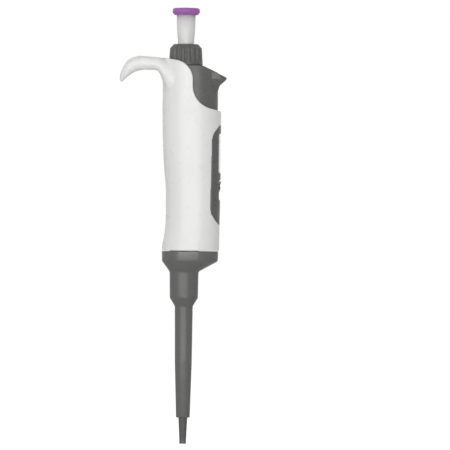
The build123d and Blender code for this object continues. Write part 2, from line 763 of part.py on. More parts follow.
with BuildPart() as shaft_nut:
    turn(
        (shaft_barrel_r + hair, nut_ring_z),
        (nut_ring_r, nut_ring_z),
        (nut_ring_r, shaft_top_z + nut_ring_grip),
        (core_low_r, shaft_top_z + nut_ring_grip),
        (core_low_r, shaft_top_z - shaft_flange_height),
        (shaft_barrel_r + hair, shaft_top_z - shaft_flange_height),
    )
save(shaft_nut, "shaft_nut")

# ---------------------------------------------------------------- ejector sleeve, link and button
with BuildPart() as sleeve_outside:
    turn(
        (0, slim_z),
        (slim_end_r, slim_z),
        (slim_mid_r, slim_z + slim_length / 2),
        (slim_top_r, shoulder_z),
        (barrel_low_r, barrel_z),
        (barrel_top_r, flare_z),
        (0, flare_z),
    )
    with BuildSketch(Plane.XY.offset(flare_z)):
        Circle(barrel_top_r)
    with BuildSketch(Plane.XY.offset(collar_z)):
        oval(*collar_low)
    loft()
    with BuildSketch(Plane.XY.offset(collar_z)):
        oval(*collar_low)
    with BuildSketch(Plane.XY.offset(collar_top_z)):
        oval(*collar_top)
    loft()

with BuildPart() as sleeve_inside:
    turn(
        (0, slim_z - sleeve_wall),
        (slim_end_r - sleeve_wall, slim_z - sleeve_wall),
        (slim_mid_r - sleeve_wall, slim_z + slim_length / 2),
        (slim_top_r - sleeve_wall, shoulder_z),
        (barrel_low_r - sleeve_wall, barrel_z),
        (barrel_top_r - sleeve_wall, flare_z),
        (0, flare_z),
    )
    with BuildSketch(Plane.XY.offset(flare_z)):
        Circle(barrel_top_r - sleeve_wall)
    with BuildSketch(Plane.XY.offset(collar_z)):
        oval(*collar_low, collar_wall + link_ledge)
    loft()
    with BuildSketch(Plane.XY.offset(collar_z)):
        oval(*collar_low, collar_wall + link_ledge)
    extrude(amount=rail_low_z - collar_z)
    with BuildSketch(Plane.XY.offset(rail_low_z)):
        oval(*collar_low, collar_wall)
    extrude(amount=collar_height)

with BuildPart() as ejector_sleeve:
    add(sleeve_outside.part)
    under_edges = ejector_sleeve.edges().filter_by_position(Axis.Z, collar_z - hair, collar_z + hair)
    fillet(under_edges, radius=collar_under_edge)
    add(sleeve_inside.part, mode=Mode.SUBTRACT)
    outer_edges = ejector_sleeve.faces().sort_by(Axis.Z)[-1].outer_wire().edges()
    fillet(outer_edges, radius=collar_edge)
save(ejector_sleeve, "ejector_sleeve")

with BuildPart() as ejector_link:
    with BuildSketch(Plane.XY.offset(rail_low_z)):
        oval(*collar_low, collar_wall + hair)
        Circle(nut_ring_r + sliding, mode=Mode.SUBTRACT)
    extrude(amount=link_plate_thickness)
    with BuildSketch(Plane.XY.offset(rail_low_z)):
        for side in (-1, 1):
            with Locations((rail_x, side * rail_centre_y)):
                Rectangle(rail_width, rail_thickness)
    extrude(amount=rail_top_z - rail_low_z)
    with BuildSketch(Plane.XY.offset(bridge_z)):
        oval(*trunk_sections[4][1:], wall + panel_flange_thickness + hair + sliding)
        Circle(core_low_r + sliding, mode=Mode.SUBTRACT)
    extrude(amount=bridge_thickness)
    with BuildSketch(Plane.XZ):
        with Locations((rail_x, link_pin_z)):
            Circle(link_pin_r)
    extrude(amount=trunk_front, both=True, mode=Mode.SUBTRACT)
save(ejector_link, "ejector_link")

ejector_spring = coil(
    ejector_spring_r, ejector_wire, ejector_turns, core_z, bridge_z - core_z, x=ejector_spring_x
)
save(ejector_spring, "ejector_spring")

button_outside = trunk(wall + sliding)
button_inside = trunk(wall + sliding + button_wall)

with BuildPart() as pad_block:
    with BuildSketch(Plane.XY.offset(pad_foot[1])):
        Rectangle(pad_tip[0], pad_width, align=(Align.MIN, Align.CENTER))
        fillet(vertices().group_by(Axis.X)[-1], radius=pad_corner)
    extrude(amount=button_top_z - pad_foot[1])
    with BuildSketch(Plane.XZ):
        with BuildLine():
            Polyline(
                (pad_start_x, pad_foot[1]), pad_foot, pad_rake,
                (pad_tip[0] - pad_lip_back, pad_tip[1] - pad_lip), pad_tip,
                (pad_start_x, button_top_z), close=True,
            )
        make_face()
    extrude(amount=pad_width, both=True, mode=Mode.INTERSECT)
    # the pad's sides draw in below its lip
    pad_lip_z = pad_tip[1] - pad_lip
    with BuildSketch(Plane.YZ):
        with BuildLine():
            Polyline(
                (-pad_foot_width / 2, pad_foot[1]), (pad_foot_width / 2, pad_foot[1]),
                (pad_width / 2, pad_lip_z), (pad_width / 2, button_top_z),
                (-pad_width / 2, button_top_z), (-pad_width / 2, pad_lip_z), close=True,
            )
        make_face()
    extrude(amount=pad_tip[0], mode=Mode.INTERSECT)

with BuildPart() as button_hollow:
    add(button_inside)
    with BuildSketch(Plane.XZ):
        with BuildLine():
            Polyline(
                (button_rear_x - wall, button_skirt_z - wall), (trunk_front, button_skirt_z - wall),
                (trunk_front, pad_tip[1] - pad_roof), (pad_start_x, button_top_z - pad_roof),
                (button_rear_x - wall, button_top_z - pad_roof), close=True,
            )
        make_face()
    extrude(amount=trunk_front, both=True, mode=Mode.INTERSECT)

with BuildPart() as ejector_button:
    add(button_outside)
    with BuildSketch(Plane.XZ):
        with BuildLine():
            Polyline(
                (button_rear_x, button_skirt_z), (trunk_front, button_skirt_z),
                (trunk_front, pad_tip[1]), (pad_start_x, button_top_z),
                (button_rear_x, button_top_z), close=True,
            )
        make_face()
    extrude(amount=trunk_front, both=True, mode=Mode.INTERSECT)
    add(pad_block.part)
    add(button_hollow.part, mode=Mode.SUBTRACT)
    ring(0, boss_r + button_hole_gap, button_skirt_z, knob_z, Mode.SUBTRACT)
    with BuildSketch(Plane.XZ):
        with Locations((rail_x, link_pin_z)):
            Circle(link_pin_r)
    extrude(amount=trunk_front, both=True, mode=Mode.SUBTRACT)
save(ejector_button, "ejector_button")

with BuildPart() as link_pins:
    for side in (-1, 1):
        with BuildSketch(Plane.XZ.offset(side * (rail_y + link_pin_length / 2))):
            with Locations((rail_x, link_pin_z)):
                Circle(link_pin_r - running)
        extrude(amount=link_pin_length / 2, both=True)
save(link_pins, "link_pins")
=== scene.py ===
"""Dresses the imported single-channel pipette: shell, window panel, knob, button, ejector and shaft.

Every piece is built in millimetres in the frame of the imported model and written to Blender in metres.
+Z runs up the plunger's axis, +X points to the window and the thumb pad, -X to the finger hook.
"""

from __future__ import annotations

import json
import logging
import math
from dataclasses import dataclass, field
from enum import Enum
from typing import Callable, Sequence

import bmesh
import bpy
from mathutils import Matrix, Vector

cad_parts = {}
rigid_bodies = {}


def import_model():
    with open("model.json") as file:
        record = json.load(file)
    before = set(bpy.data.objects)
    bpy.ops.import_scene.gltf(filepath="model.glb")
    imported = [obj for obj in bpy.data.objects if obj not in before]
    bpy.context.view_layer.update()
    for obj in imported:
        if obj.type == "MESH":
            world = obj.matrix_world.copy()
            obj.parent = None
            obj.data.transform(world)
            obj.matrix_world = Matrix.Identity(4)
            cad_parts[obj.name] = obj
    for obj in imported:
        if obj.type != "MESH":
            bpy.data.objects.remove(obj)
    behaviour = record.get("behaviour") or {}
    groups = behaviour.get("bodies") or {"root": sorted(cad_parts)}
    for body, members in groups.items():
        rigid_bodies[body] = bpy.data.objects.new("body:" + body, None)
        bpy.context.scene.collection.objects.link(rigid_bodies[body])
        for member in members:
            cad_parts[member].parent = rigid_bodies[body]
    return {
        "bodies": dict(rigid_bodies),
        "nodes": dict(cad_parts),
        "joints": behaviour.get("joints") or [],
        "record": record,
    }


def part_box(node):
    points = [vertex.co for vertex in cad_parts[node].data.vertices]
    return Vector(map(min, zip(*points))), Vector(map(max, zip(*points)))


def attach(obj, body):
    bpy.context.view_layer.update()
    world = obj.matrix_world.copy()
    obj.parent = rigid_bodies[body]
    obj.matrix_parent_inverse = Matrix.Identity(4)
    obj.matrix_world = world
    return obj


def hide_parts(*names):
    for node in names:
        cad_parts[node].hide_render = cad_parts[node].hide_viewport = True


LOG = logging.getLogger("pipette")
MM = 0.001


def load_frame() -> dict:
    """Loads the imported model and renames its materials, so that none is taken for a finish.

    Returns:
        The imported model's bodies, nodes, joints and record.
    """
    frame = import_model()
    for material in bpy.data.materials:
        material.name = f"packed_{material.name}"
    return frame


FRAME = load_frame()
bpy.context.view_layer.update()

Point = tuple[float, float]
Ring = list[Vector]


class Axis(Enum):
    """Direction that a flat outline is pushed along."""

    X = "x"
    Y = "y"
    Z = "z"


class Cut(Enum):
    """Ways of combining two closed meshes."""

    REMOVE = "DIFFERENCE"
    KEEP = "INTERSECT"
    JOIN = "UNION"


# ------------------------------------------------------------------ finishes


def linear(red: int, green: int, blue: int) -> tuple[float, float, float, float]:
    """Turns an 8-bit display colour into the linear colour that a shader takes.

    Args:
        red: Red from 0 to 255.
        green: Green from 0 to 255.
        blue: Blue from 0 to 255.

    Returns:
        Linear red, green, blue and an alpha of 1.
    """
    channels = []
    for value in (red, green, blue):
        share = value / 255
        channels.append(share / 12.92 if share <= 0.04045 else ((share + 0.055) / 1.055) ** 2.4)
    return (channels[0], channels[1], channels[2], 1.0)


@dataclass(frozen=True)
class MouldedPlastic:
    """An injection-moulded plastic with a fine spark-eroded grain and slight flow marks.

    Args:
        name: Name of the material.
        colour: 8-bit display colour of the plastic.
        roughness: Middle roughness of the surface.
        grain_mm: Size of one grain of the moulded texture.
        grain_depth_mm: Height of the grain.
        mottle: Strength of the slow change of shade over the piece.
        rubbed: How much paler the handled edges are.
        glow: Share of light scattered inside a pale plastic.
        shine: How strongly the surface mirrors, where 0.5 is a bare polished plastic.
    """

    name: str
    colour: tuple[int, int, int]
    roughness: float = 0.45
    grain_mm: float = 0.22
    grain_depth_mm: float = 0.012
    mottle: float = 0.03
    rubbed: float = 0.03
    glow: float = 0.0
    shine: float = 0.3

    def material(self) -> bpy.types.Material:
        """Builds the material once and returns it afterwards.

        Returns:
            The node-based material.
        """
        if self.name in bpy.data.materials:
            return bpy.data.materials[self.name]
        graph = Graph(self.name)
        base = linear(*self.colour)
        flow = graph.noise(scale=90.0, detail=3.0)
        darker = tuple(channel * (1 - self.mottle) for channel in base[:3]) + (1.0,)
        lighter = tuple(min(1.0, channel * (1 + self.mottle)) for channel in base[:3]) + (1.0,)
        shade = graph.ramp(flow, [(0.3, darker), (0.7, lighter)])
        edge = graph.ramp(graph.pointiness(), [(0.505, (0, 0, 0, 1)), (0.56, (1, 1, 1, 1))])
        rub = graph.math("MULTIPLY", edge, self.rubbed)
        pale = tuple(channel + (1 - channel) * 0.35 for channel in base[:3]) + (1.0,)
        colour = graph.mix(rub, shade, pale)
        grain = graph.noise(scale=1 / (self.grain_mm * MM), detail=2.0)
        wear = graph.noise(scale=260.0, detail=4.0)
        rough = graph.map_range(wear, self.roughness - 0.05, self.roughness + 0.07)
        graph.link(colour, "Base Color")
        graph.link(rough, "Roughness")
        graph.bump(grain, self.grain_depth_mm * MM)
        graph.set("IOR", 1.5)
        graph.set("Specular IOR Level", self.shine)
        if self.glow:
            graph.set("Subsurface Weight", self.glow)
            graph.set("Subsurface Scale", 0.8 * MM)
            graph.set("Subsurface Radius", (1.0, 0.9, 0.8))
        return graph.material


@dataclass(frozen=True)
class ClearPlastic:
    """A clear moulded lens with the faintest ripple.

    Args:
        name: Name of the material.
        roughness: Roughness of the polished surface.
        ior: Refractive index.
    """

    name: str
    roughness: float = 0.06
    ior: float = 1.49

    def material(self) -> bpy.types.Material:
        """Builds the material once and returns it afterwards.

        Returns:
            The node-based material.
        """
        if self.name in bpy.data.materials:
            return bpy.data.materials[self.name]
        graph = Graph(self.name)
        graph.set("Base Color", (0.74, 0.76, 0.76, 1.0))
        graph.set("Transmission Weight", 1.0)
        graph.set("IOR", self.ior)
        graph.link(graph.map_range(graph.noise(scale=400.0, detail=2.0), self.roughness, 0.12), "Roughness")
        graph.bump(graph.noise(scale=220.0, detail=1.0), 0.004 * MM)
        return graph.material


@dataclass(frozen=True)
class MachinedMetal:
    """Turned or ground metal with fine marks running round its axis.

    Args:
        name: Name of the material.
        colour: 8-bit display colour of the metal.
        roughness: Middle roughness.
        mark_mm: Spacing of the machining marks along Z.
    """

    name: str
    colour: tuple[int, int, int]
    roughness: float = 0.28
    mark_mm: float = 0.12

    def material(self) -> bpy.types.Material:
        """Builds the material once and returns it afterwards.

        Returns:
            The node-based material.
        """
        if self.name in bpy.data.materials:
            return bpy.data.materials[self.name]
        graph = Graph(self.name)
        base = linear(*self.colour)
        marks = graph.noise(scale=1.0, detail=3.0, stretch=(200.0, 200.0, 1 / (self.mark_mm * MM)))
        dull = tuple(channel * 0.82 for channel in base[:3]) + (1.0,)
        graph.link(graph.ramp(marks, [(0.35, dull), (0.65, base)]), "Base Color")
        graph.link(graph.map_range(marks, self.roughness - 0.08, self.roughness + 0.1), "Roughness")
        graph.set("Metallic", 1.0)
        graph.bump(marks, 0.006 * MM)
        return graph.material


class Graph:
    """A material's node tree round one Principled shader."""

    def __init__(self, name: str) -> None:
        """Starts an empty material with a Principled shader.

        Args:
            name: Name of the material.
        """
        self.material = bpy.data.materials.new(name)
        self.material.use_nodes = True
        self.tree = self.material.node_tree
        self.shader = self.tree.nodes["Principled BSDF"]
        self.place = self.tree.nodes.new("ShaderNodeTexCoord")

    def set(self, socket: str, value: object) -> None:
        """Sets a socket of the shader to one value all over."""
        self.shader.inputs[socket].default_value = value

    def link(self, output: bpy.types.NodeSocket, socket: str) -> None:
        """Joins a node's output to a socket of the shader."""
        self.tree.links.new(output, self.shader.inputs[socket])

    def noise(
        self, scale: float, detail: float, stretch: tuple[float, float, float] = (1.0, 1.0, 1.0)
    ) -> bpy.types.NodeSocket:
        """Adds noise in object space.

        Args:
            scale: Number of features in a metre.
            detail: Octaves of finer noise.
            stretch: Scale along each axis, for marks that run one way.

        Returns:
            The noise's value, from 0 to 1.
        """
        turn = self.tree.nodes.new("ShaderNodeMapping")
        turn.inputs["Scale"].default_value = stretch
        self.tree.links.new(self.place.outputs["Object"], turn.inputs["Vector"])
        node = self.tree.nodes.new("ShaderNodeTexNoise")
        node.inputs["Scale"].default_value = scale
        node.inputs["Detail"].default_value = detail
        self.tree.links.new(turn.outputs["Vector"], node.inputs["Vector"])
        return node.outputs["Fac"]

    def pointiness(self) -> bpy.types.NodeSocket:
        """Returns how sharply the surface turns, above 0.5 on outer edges."""
        return self.tree.nodes.new("ShaderNodeNewGeometry").outputs["Pointiness"]

    def ramp(
        self, value: bpy.types.NodeSocket, stops: Sequence[tuple[float, tuple[float, float, float, float]]]
    ) -> bpy.types.NodeSocket:
        """Adds a colour ramp.

        Args:
            value: What the ramp reads.
            stops: Position and colour of each stop.

        Returns:
            The ramp's colour.
        """
        node = self.tree.nodes.new("ShaderNodeValToRGB")
        for element, (position, colour) in zip(node.color_ramp.elements, stops):
            element.position = position
            element.color = colour
        self.tree.links.new(value, node.inputs["Fac"])
        return node.outputs["Color"]

    def math(self, operation: str, value: bpy.types.NodeSocket, by: float) -> bpy.types.NodeSocket:
        """Adds a math node of one input and one number, and returns its result."""
        node = self.tree.nodes.new("ShaderNodeMath")
        node.operation = operation
        self.tree.links.new(value, node.inputs[0])
        node.inputs[1].default_value = by
        return node.outputs[0]

    def mix(
        self,
        share: bpy.types.NodeSocket,
        first: bpy.types.NodeSocket,
        second: tuple[float, float, float, float],
    ) -> bpy.types.NodeSocket:
        """Mixes a node's colour with a fixed one.

        Args:
            share: How much of the second colour shows.
            first: Colour where the share is 0.
            second: Colour where the share is 1.

        Returns:
            The mixed colour.
        """
        node = self.tree.nodes.new("ShaderNodeMix")
        node.data_type = "RGBA"
        self.tree.links.new(share, node.inputs["Factor"])
        for socket in node.inputs:
            if socket.name == "A" and socket.type == "RGBA":
                self.tree.links.new(first, socket)
            if socket.name == "B" and socket.type == "RGBA":
                socket.default_value = second
        return next(socket for socket in node.outputs if socket.type == "RGBA")

    def map_range(self, value: bpy.types.NodeSocket, low: float, high: float) -> bpy.types.NodeSocket:
        """Stretches a value from 0.3-0.7 to low-high and returns it."""
        node = self.tree.nodes.new("ShaderNodeMapRange")
        node.inputs["From Min"].default_value = 0.3
        node.inputs["From Max"].default_value = 0.7
        node.inputs["To Min"].default_value = low
        node.inputs["To Max"].default_value = high
        self.tree.links.new(value, node.inputs["Value"])
        return node.outputs["Result"]

    def bump(self, height: bpy.types.NodeSocket, distance: float) -> None:
        """Raises the surface by a height map.

        Args:
            height: The height, from 0 to 1.
            distance: Height of a full step, in metres.
        """
        node = self.tree.nodes.new("ShaderNodeBump")
        node.inputs["Strength"].default_value = 1.0
        node.inputs["Distance"].default_value = distance
        self.tree.links.new(height, node.inputs["Height"])
        self.link(node.outputs["Normal"], "Normal")


# ------------------------------------------------------------------ mesh work


def solid(name: str, points: Sequence[Vector], faces: Sequence[Sequence[int]]) -> bpy.types.Object:
    """Makes a mesh object from points in millimetres.

    Args:
        name: Name of the new object.
        points: Corners in millimetres.
        faces: Corner numbers of each face.

    Returns:
        The object, linked to the scene, with smooth faces that point outwards.
    """
    mesh = bpy.data.meshes.new(name)
    mesh.from_pydata([tuple(point * MM) for point in points], [], [tuple(face) for face in faces])
    mesh.validate()
    work = bmesh.new()
    work.from_mesh(mesh)
    bmesh.ops.remove_doubles(work, verts=work.verts, dist=1e-7)
    bmesh.ops.recalc_face_normals(work, faces=work.faces)
    work.to_mesh(mesh)
    work.free()
    mesh.shade_smooth()
    piece = bpy.data.objects.new(name, mesh)
    bpy.context.scene.collection.objects.link(piece)
    return piece


def skin(name: str, rings: Sequence[Ring], closed: bool = True) -> bpy.types.Object:
    """Skins rings of equally many points into one solid, capped at both ends.

    Args:
        name: Name of the new object.
        rings: The rings in order along the form.
        closed: Whether both ends get a cap.

    Returns:
        The object.
    """
    count = len(rings[0])
    points = [point for ring in rings for point in ring]
    faces: list[list[int]] = []
    for row in range(len(rings) - 1):
        for step in range(count):
            after = (step + 1) % count
            low, high = row * count, (row + 1) * count
            faces.append([low + step, low + after, high + after, high + step])
    if closed:
        faces.append(list(range(count)))
        faces.append(list(range((len(rings) - 1) * count, len(rings) * count)))
    return solid(name, points, faces)


def turned(name: str, outline: Sequence[Point], sides: int = 96, x: float = 0.0) -> bpy.types.Object:
    """Revolves an outline of (radius, height) about a line parallel to Z.

    Args:
        name: Name of the new object.
        outline: Closed outline in millimetres.
        sides: Number of steps round the axis.
        x: Place of the axis along X.

    Returns:
        The object.
    """
    points: list[Vector] = []
    for radius, height in outline:
        for step in range(sides):
            angle = 2 * math.pi * step / sides
            points.append(Vector((x + radius * math.cos(angle), radius * math.sin(angle), height)))
    faces = []
    rows = len(outline)
    for row in range(rows):
        other = (row + 1) % rows
        if outline[row][0] < 1e-6 and outline[other][0] < 1e-6:
            continue
        for step in range(sides):
            after = (step + 1) % sides
            faces.append(
                [row * sides + step, row * sides + after, other * sides + after, other * sides + step]
            )
    return solid(name, points, faces)


def eased(corners: Sequence[tuple[float, float, float]], steps: int = 5, closed: bool = True) -> list[Point]:
    """Rounds the corners of an outline.

    Args:
        corners: Each corner's two coordinates and its radius, 0 for a sharp one.
        steps: Number of points on each arc.
        closed: Whether the outline returns to its first corner.

    Returns:
        The outline's points.
    """
    outline: list[Point] = []
    count = len(corners)
    for index, (x, y, radius) in enumerate(corners):
        here = Vector((x, y))
        if radius <= 0 or (not closed and index in (0, count - 1)):
            outline.append((x, y))
            continue
        before = Vector(corners[index - 1][:2]) - here
        after = Vector(corners[(index + 1) % count][:2]) - here
        opening = before.angle(after)
        reach = min(radius / math.tan(opening / 2), before.length * 0.49, after.length * 0.49)
        bulge = reach / math.cos(opening / 2)
        centre = here + (before.normalized() + after.normalized()).normalized() * bulge
        start = here + before.normalized() * reach - centre
        end = here + after.normalized() * reach - centre
        sweep = start.angle(end)
        for step in range(steps + 1):
            share = step / steps
            first, last = math.sin((1 - share) * sweep), math.sin(share * sweep)
            point = centre + (start * first + end * last) / math.sin(sweep)
            outline.append((point.x, point.y))
    return outline


def prism(name: str, outline: Sequence[Point], along: Axis, low: float, high: float) -> bpy.types.Object:
    """Pushes a flat outline along an axis.

    Args:
        name: Name of the new object.
        outline: Outline in the other two axes, in X, Y, Z order.
        along: Direction of the push.
        low: Where the prism starts.
        high: Where it ends.

    Returns:
        The object.
    """
    rings = []
    for level in (low, high):
        ring = []
        for first, second in outline:
            place = {
                Axis.X: (level, first, second),
                Axis.Y: (first, level, second),
                Axis.Z: (first, second, level),
            }[along]
            ring.append(Vector(place))
        rings.append(ring)
    return skin(name, rings)


def combine(piece: bpy.types.Object, tool: bpy.types.Object, cut: Cut, keep_tool: bool = False) -> None:
    """Cuts, keeps or joins one closed mesh with another and applies the result.

    Args:
        piece: The mesh that changes.
        tool: The other mesh.
        cut: What to do.
        keep_tool: Whether the other mesh stays for another use.
    """
    modifier = piece.modifiers.new("combine", "BOOLEAN")
    modifier.operation = cut.value
    modifier.solver = "EXACT"
    modifier.object = tool
    settle(piece)
    if not keep_tool:
        bpy.data.objects.remove(tool)


def settle(piece: bpy.types.Object) -> None:
    """Applies all modifiers of a piece to its mesh."""
    graph = bpy.context.evaluated_depsgraph_get()
    mesh = bpy.data.meshes.new_from_object(piece.evaluated_get(graph))
    piece.modifiers.clear()
    old = piece.data
    piece.data = mesh
    bpy.data.meshes.remove(old)


def mould(piece: bpy.types.Object, grid: float, passes: int) -> None:
    """Gives a cut form the even mesh and softly rounded edges of a moulding.

    Args:
        piece: The closed mesh.
        grid: Size of the new mesh's squares in millimetres.
        passes: Rounds of smoothing, each of which widens the edges' radius.
    """
    remesh = piece.modifiers.new("remesh", "REMESH")
    remesh.mode = "VOXEL"
    remesh.voxel_size = grid * MM
    remesh.use_smooth_shade = True
    smooth = piece.modifiers.new("smooth", "SMOOTH")
    smooth.iterations = passes
    smooth.factor = 0.5
    settle(piece)
    piece.data.shade_smooth()


def blend(piece: bpy.types.Object, share: Callable[[Vector], float], rounds: int) -> None:
    """Smooths a piece by a share that changes from place to place.

    Args:
        piece: The piece.
        share: Gives the share of the smoothing at a vertex's place.
        rounds: How often the smoothing is repeated.
    """
    least = 0.02
    group = piece.vertex_groups.new(name="blend")
    for vertex in piece.data.vertices:
        near = share(vertex.co)
        if near > least:
            group.add([vertex.index], near, "REPLACE")
    smooth = piece.modifiers.new("blend", "SMOOTH")
    smooth.vertex_group = "blend"
    smooth.iterations = rounds
    settle(piece)
    piece.vertex_groups.clear()


def dress(piece: bpy.types.Object, finish: "Finish", body: str, slot: str, *nodes: str) -> bpy.types.Object:
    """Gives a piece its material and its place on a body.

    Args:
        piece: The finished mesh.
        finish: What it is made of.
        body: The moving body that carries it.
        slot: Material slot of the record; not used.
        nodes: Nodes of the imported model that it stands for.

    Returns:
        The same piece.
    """
    piece.data.materials.clear()
    piece.data.materials.append(finish.material())
    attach(piece, body)
    if nodes:
        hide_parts(*nodes)
    LOG.info("%s rides on %s", piece.name, body)
    return piece


Finish = MouldedPlastic | ClearPlastic | MachinedMetal


def hooped(name: str, outlines: Sequence[Ring]) -> bpy.types.Object:
    """Joins closed outlines that stand side by side round an axis into one ring-shaped solid.

    Args:
        name: Name of the new object.
        outlines: One closed outline for each step round the axis, all with as many points.

    Returns:
        The object.
    """
    count, sides = len(outlines[0]), len(outlines)
    points = [point for outline in outlines for point in outline]
    faces = []
    for side in range(sides):
        beside = (side + 1) % sides
        for step in range(count):
            after = (step + 1) % count
            faces.append(
                [side * count + step, beside * count + step, beside * count + after, side * count + after]
            )
    return solid(name, points, faces)


def between(places: Sequence[float], values: Sequence[float], place: float) -> float:
    """Reads a smooth curve through given values.

    Args:
        places: Rising places at which the curve is known.
        values: The curve's values there.
        place: Where to read it.

    Returns:
        The value of the cubic between the two nearest places.
    """
    last = len(places) - 1
    if place <= places[0]:
        return values[0]
    if place >= places[last]:
        return values[last]
    low = max(index for index in range(last) if places[index] <= place)

    def slope(index: int) -> float:
        """Slope of the curve at a known place."""
        first, second = max(index - 1, 0), min(index + 1, last)
        return (values[second] - values[first]) / (places[second] - places[first])

    span = places[low + 1] - places[low]
    share = (place - places[low]) / span
    start, end = slope(low) * span, slope(low + 1) * span
    rise = values[low + 1] - values[low]
    return (
        values[low]
        + share * start
        + share**2 * (3 * rise - 2 * start - end)
        + share**3 * (start + end - 2 * rise)
    )


# ------------------------------------------------------------------ handle


@dataclass(frozen=True)
class Station:
    """One oval section of the handle, in millimetres.

    Args:
        height: Height over the handle's lower edge.
        rear: X of its rear end.
        front: X of its front end.
        half_width: Half its width along Y.
    """

    height: float
    rear: float
    front: float
    half_width: float


@dataclass
class Trunk:
    """The handle's tapering oval form, which the shell, panel, lens and hood are cut from."""

    stations: tuple[Station, ...] = (
        Station(0.0, -12.3, 19.1, 12.7),
        Station(4.0, -12.1, 19.2, 12.7),
        Station(8.0, -11.25, 19.25, 12.5),
        Station(14.0, -10.5, 19.3, 12.3),
        Station(24.0, -10.3, 19.45, 12.2),
        Station(34.0, -10.45, 19.6, 12.3),
        Station(46.0, -11.5, 19.7, 12.6),
        Station(60.0, -12.3, 19.7, 12.9),
        Station(74.0, -12.6, 19.7, 13.0),
        Station(90.0, -12.6, 19.7, 13.0),
        Station(107.6, -12.6, 19.7, 13.0),
    )
    sides: int = 128
    row_height: float = 0.8
    foot: float = field(default_factory=lambda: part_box("handle_shell")[0].z / MM)

    @property
    def top(self) -> float:
        """Height of the form's upper end."""
        return self.foot + self.stations[-1].height

    def section(self, z: float) -> Station:
        """Reads the oval at a height.

        Args:
            z: Height in the frame.

        Returns:
            The section there.
        """
        heights = [station.height for station in self.stations]
        height = min(max(z - self.foot, 0.0), heights[-1])
        return Station(
            height,
            between(heights, [station.rear for station in self.stations], height),
            between(heights, [station.front for station in self.stations], height),
            between(heights, [station.half_width for station in self.stations], height),
        )

    def ring(self, z: float, inset: float = 0.0) -> Ring:
        """Lays points round the oval at a height, moved in by an inset."""
        oval = self.section(z)
        centre = (oval.rear + oval.front) / 2
        long, wide = (oval.front - oval.rear) / 2 - inset, oval.half_width - inset
        ring = []
        for step in range(self.sides):
            angle = 2 * math.pi * step / self.sides
            ring.append(Vector((centre + long * math.cos(angle), wide * math.sin(angle), z)))
        return ring

    def form(self, name: str, inset: float, low: float, high: float) -> bpy.types.Object:
        """Builds the form between two heights as a closed mesh.

        Args:
            name: Name of the new object.
            inset: How far inside the handle's outside it lies.
            low: Lower end.
            high: Upper end.

        Returns:
            The object.
        """
        rows = max(2, round((high - low) / self.row_height))
        return skin(name, [self.ring(low + (high - low) * row / rows, inset) for row in range(rows + 1)])


@dataclass(frozen=True)
class HookSection:
    """One section of the finger hook: outer edge, inner edge and width, in millimetres."""

    outer: Point
    inner: Point
    width: float


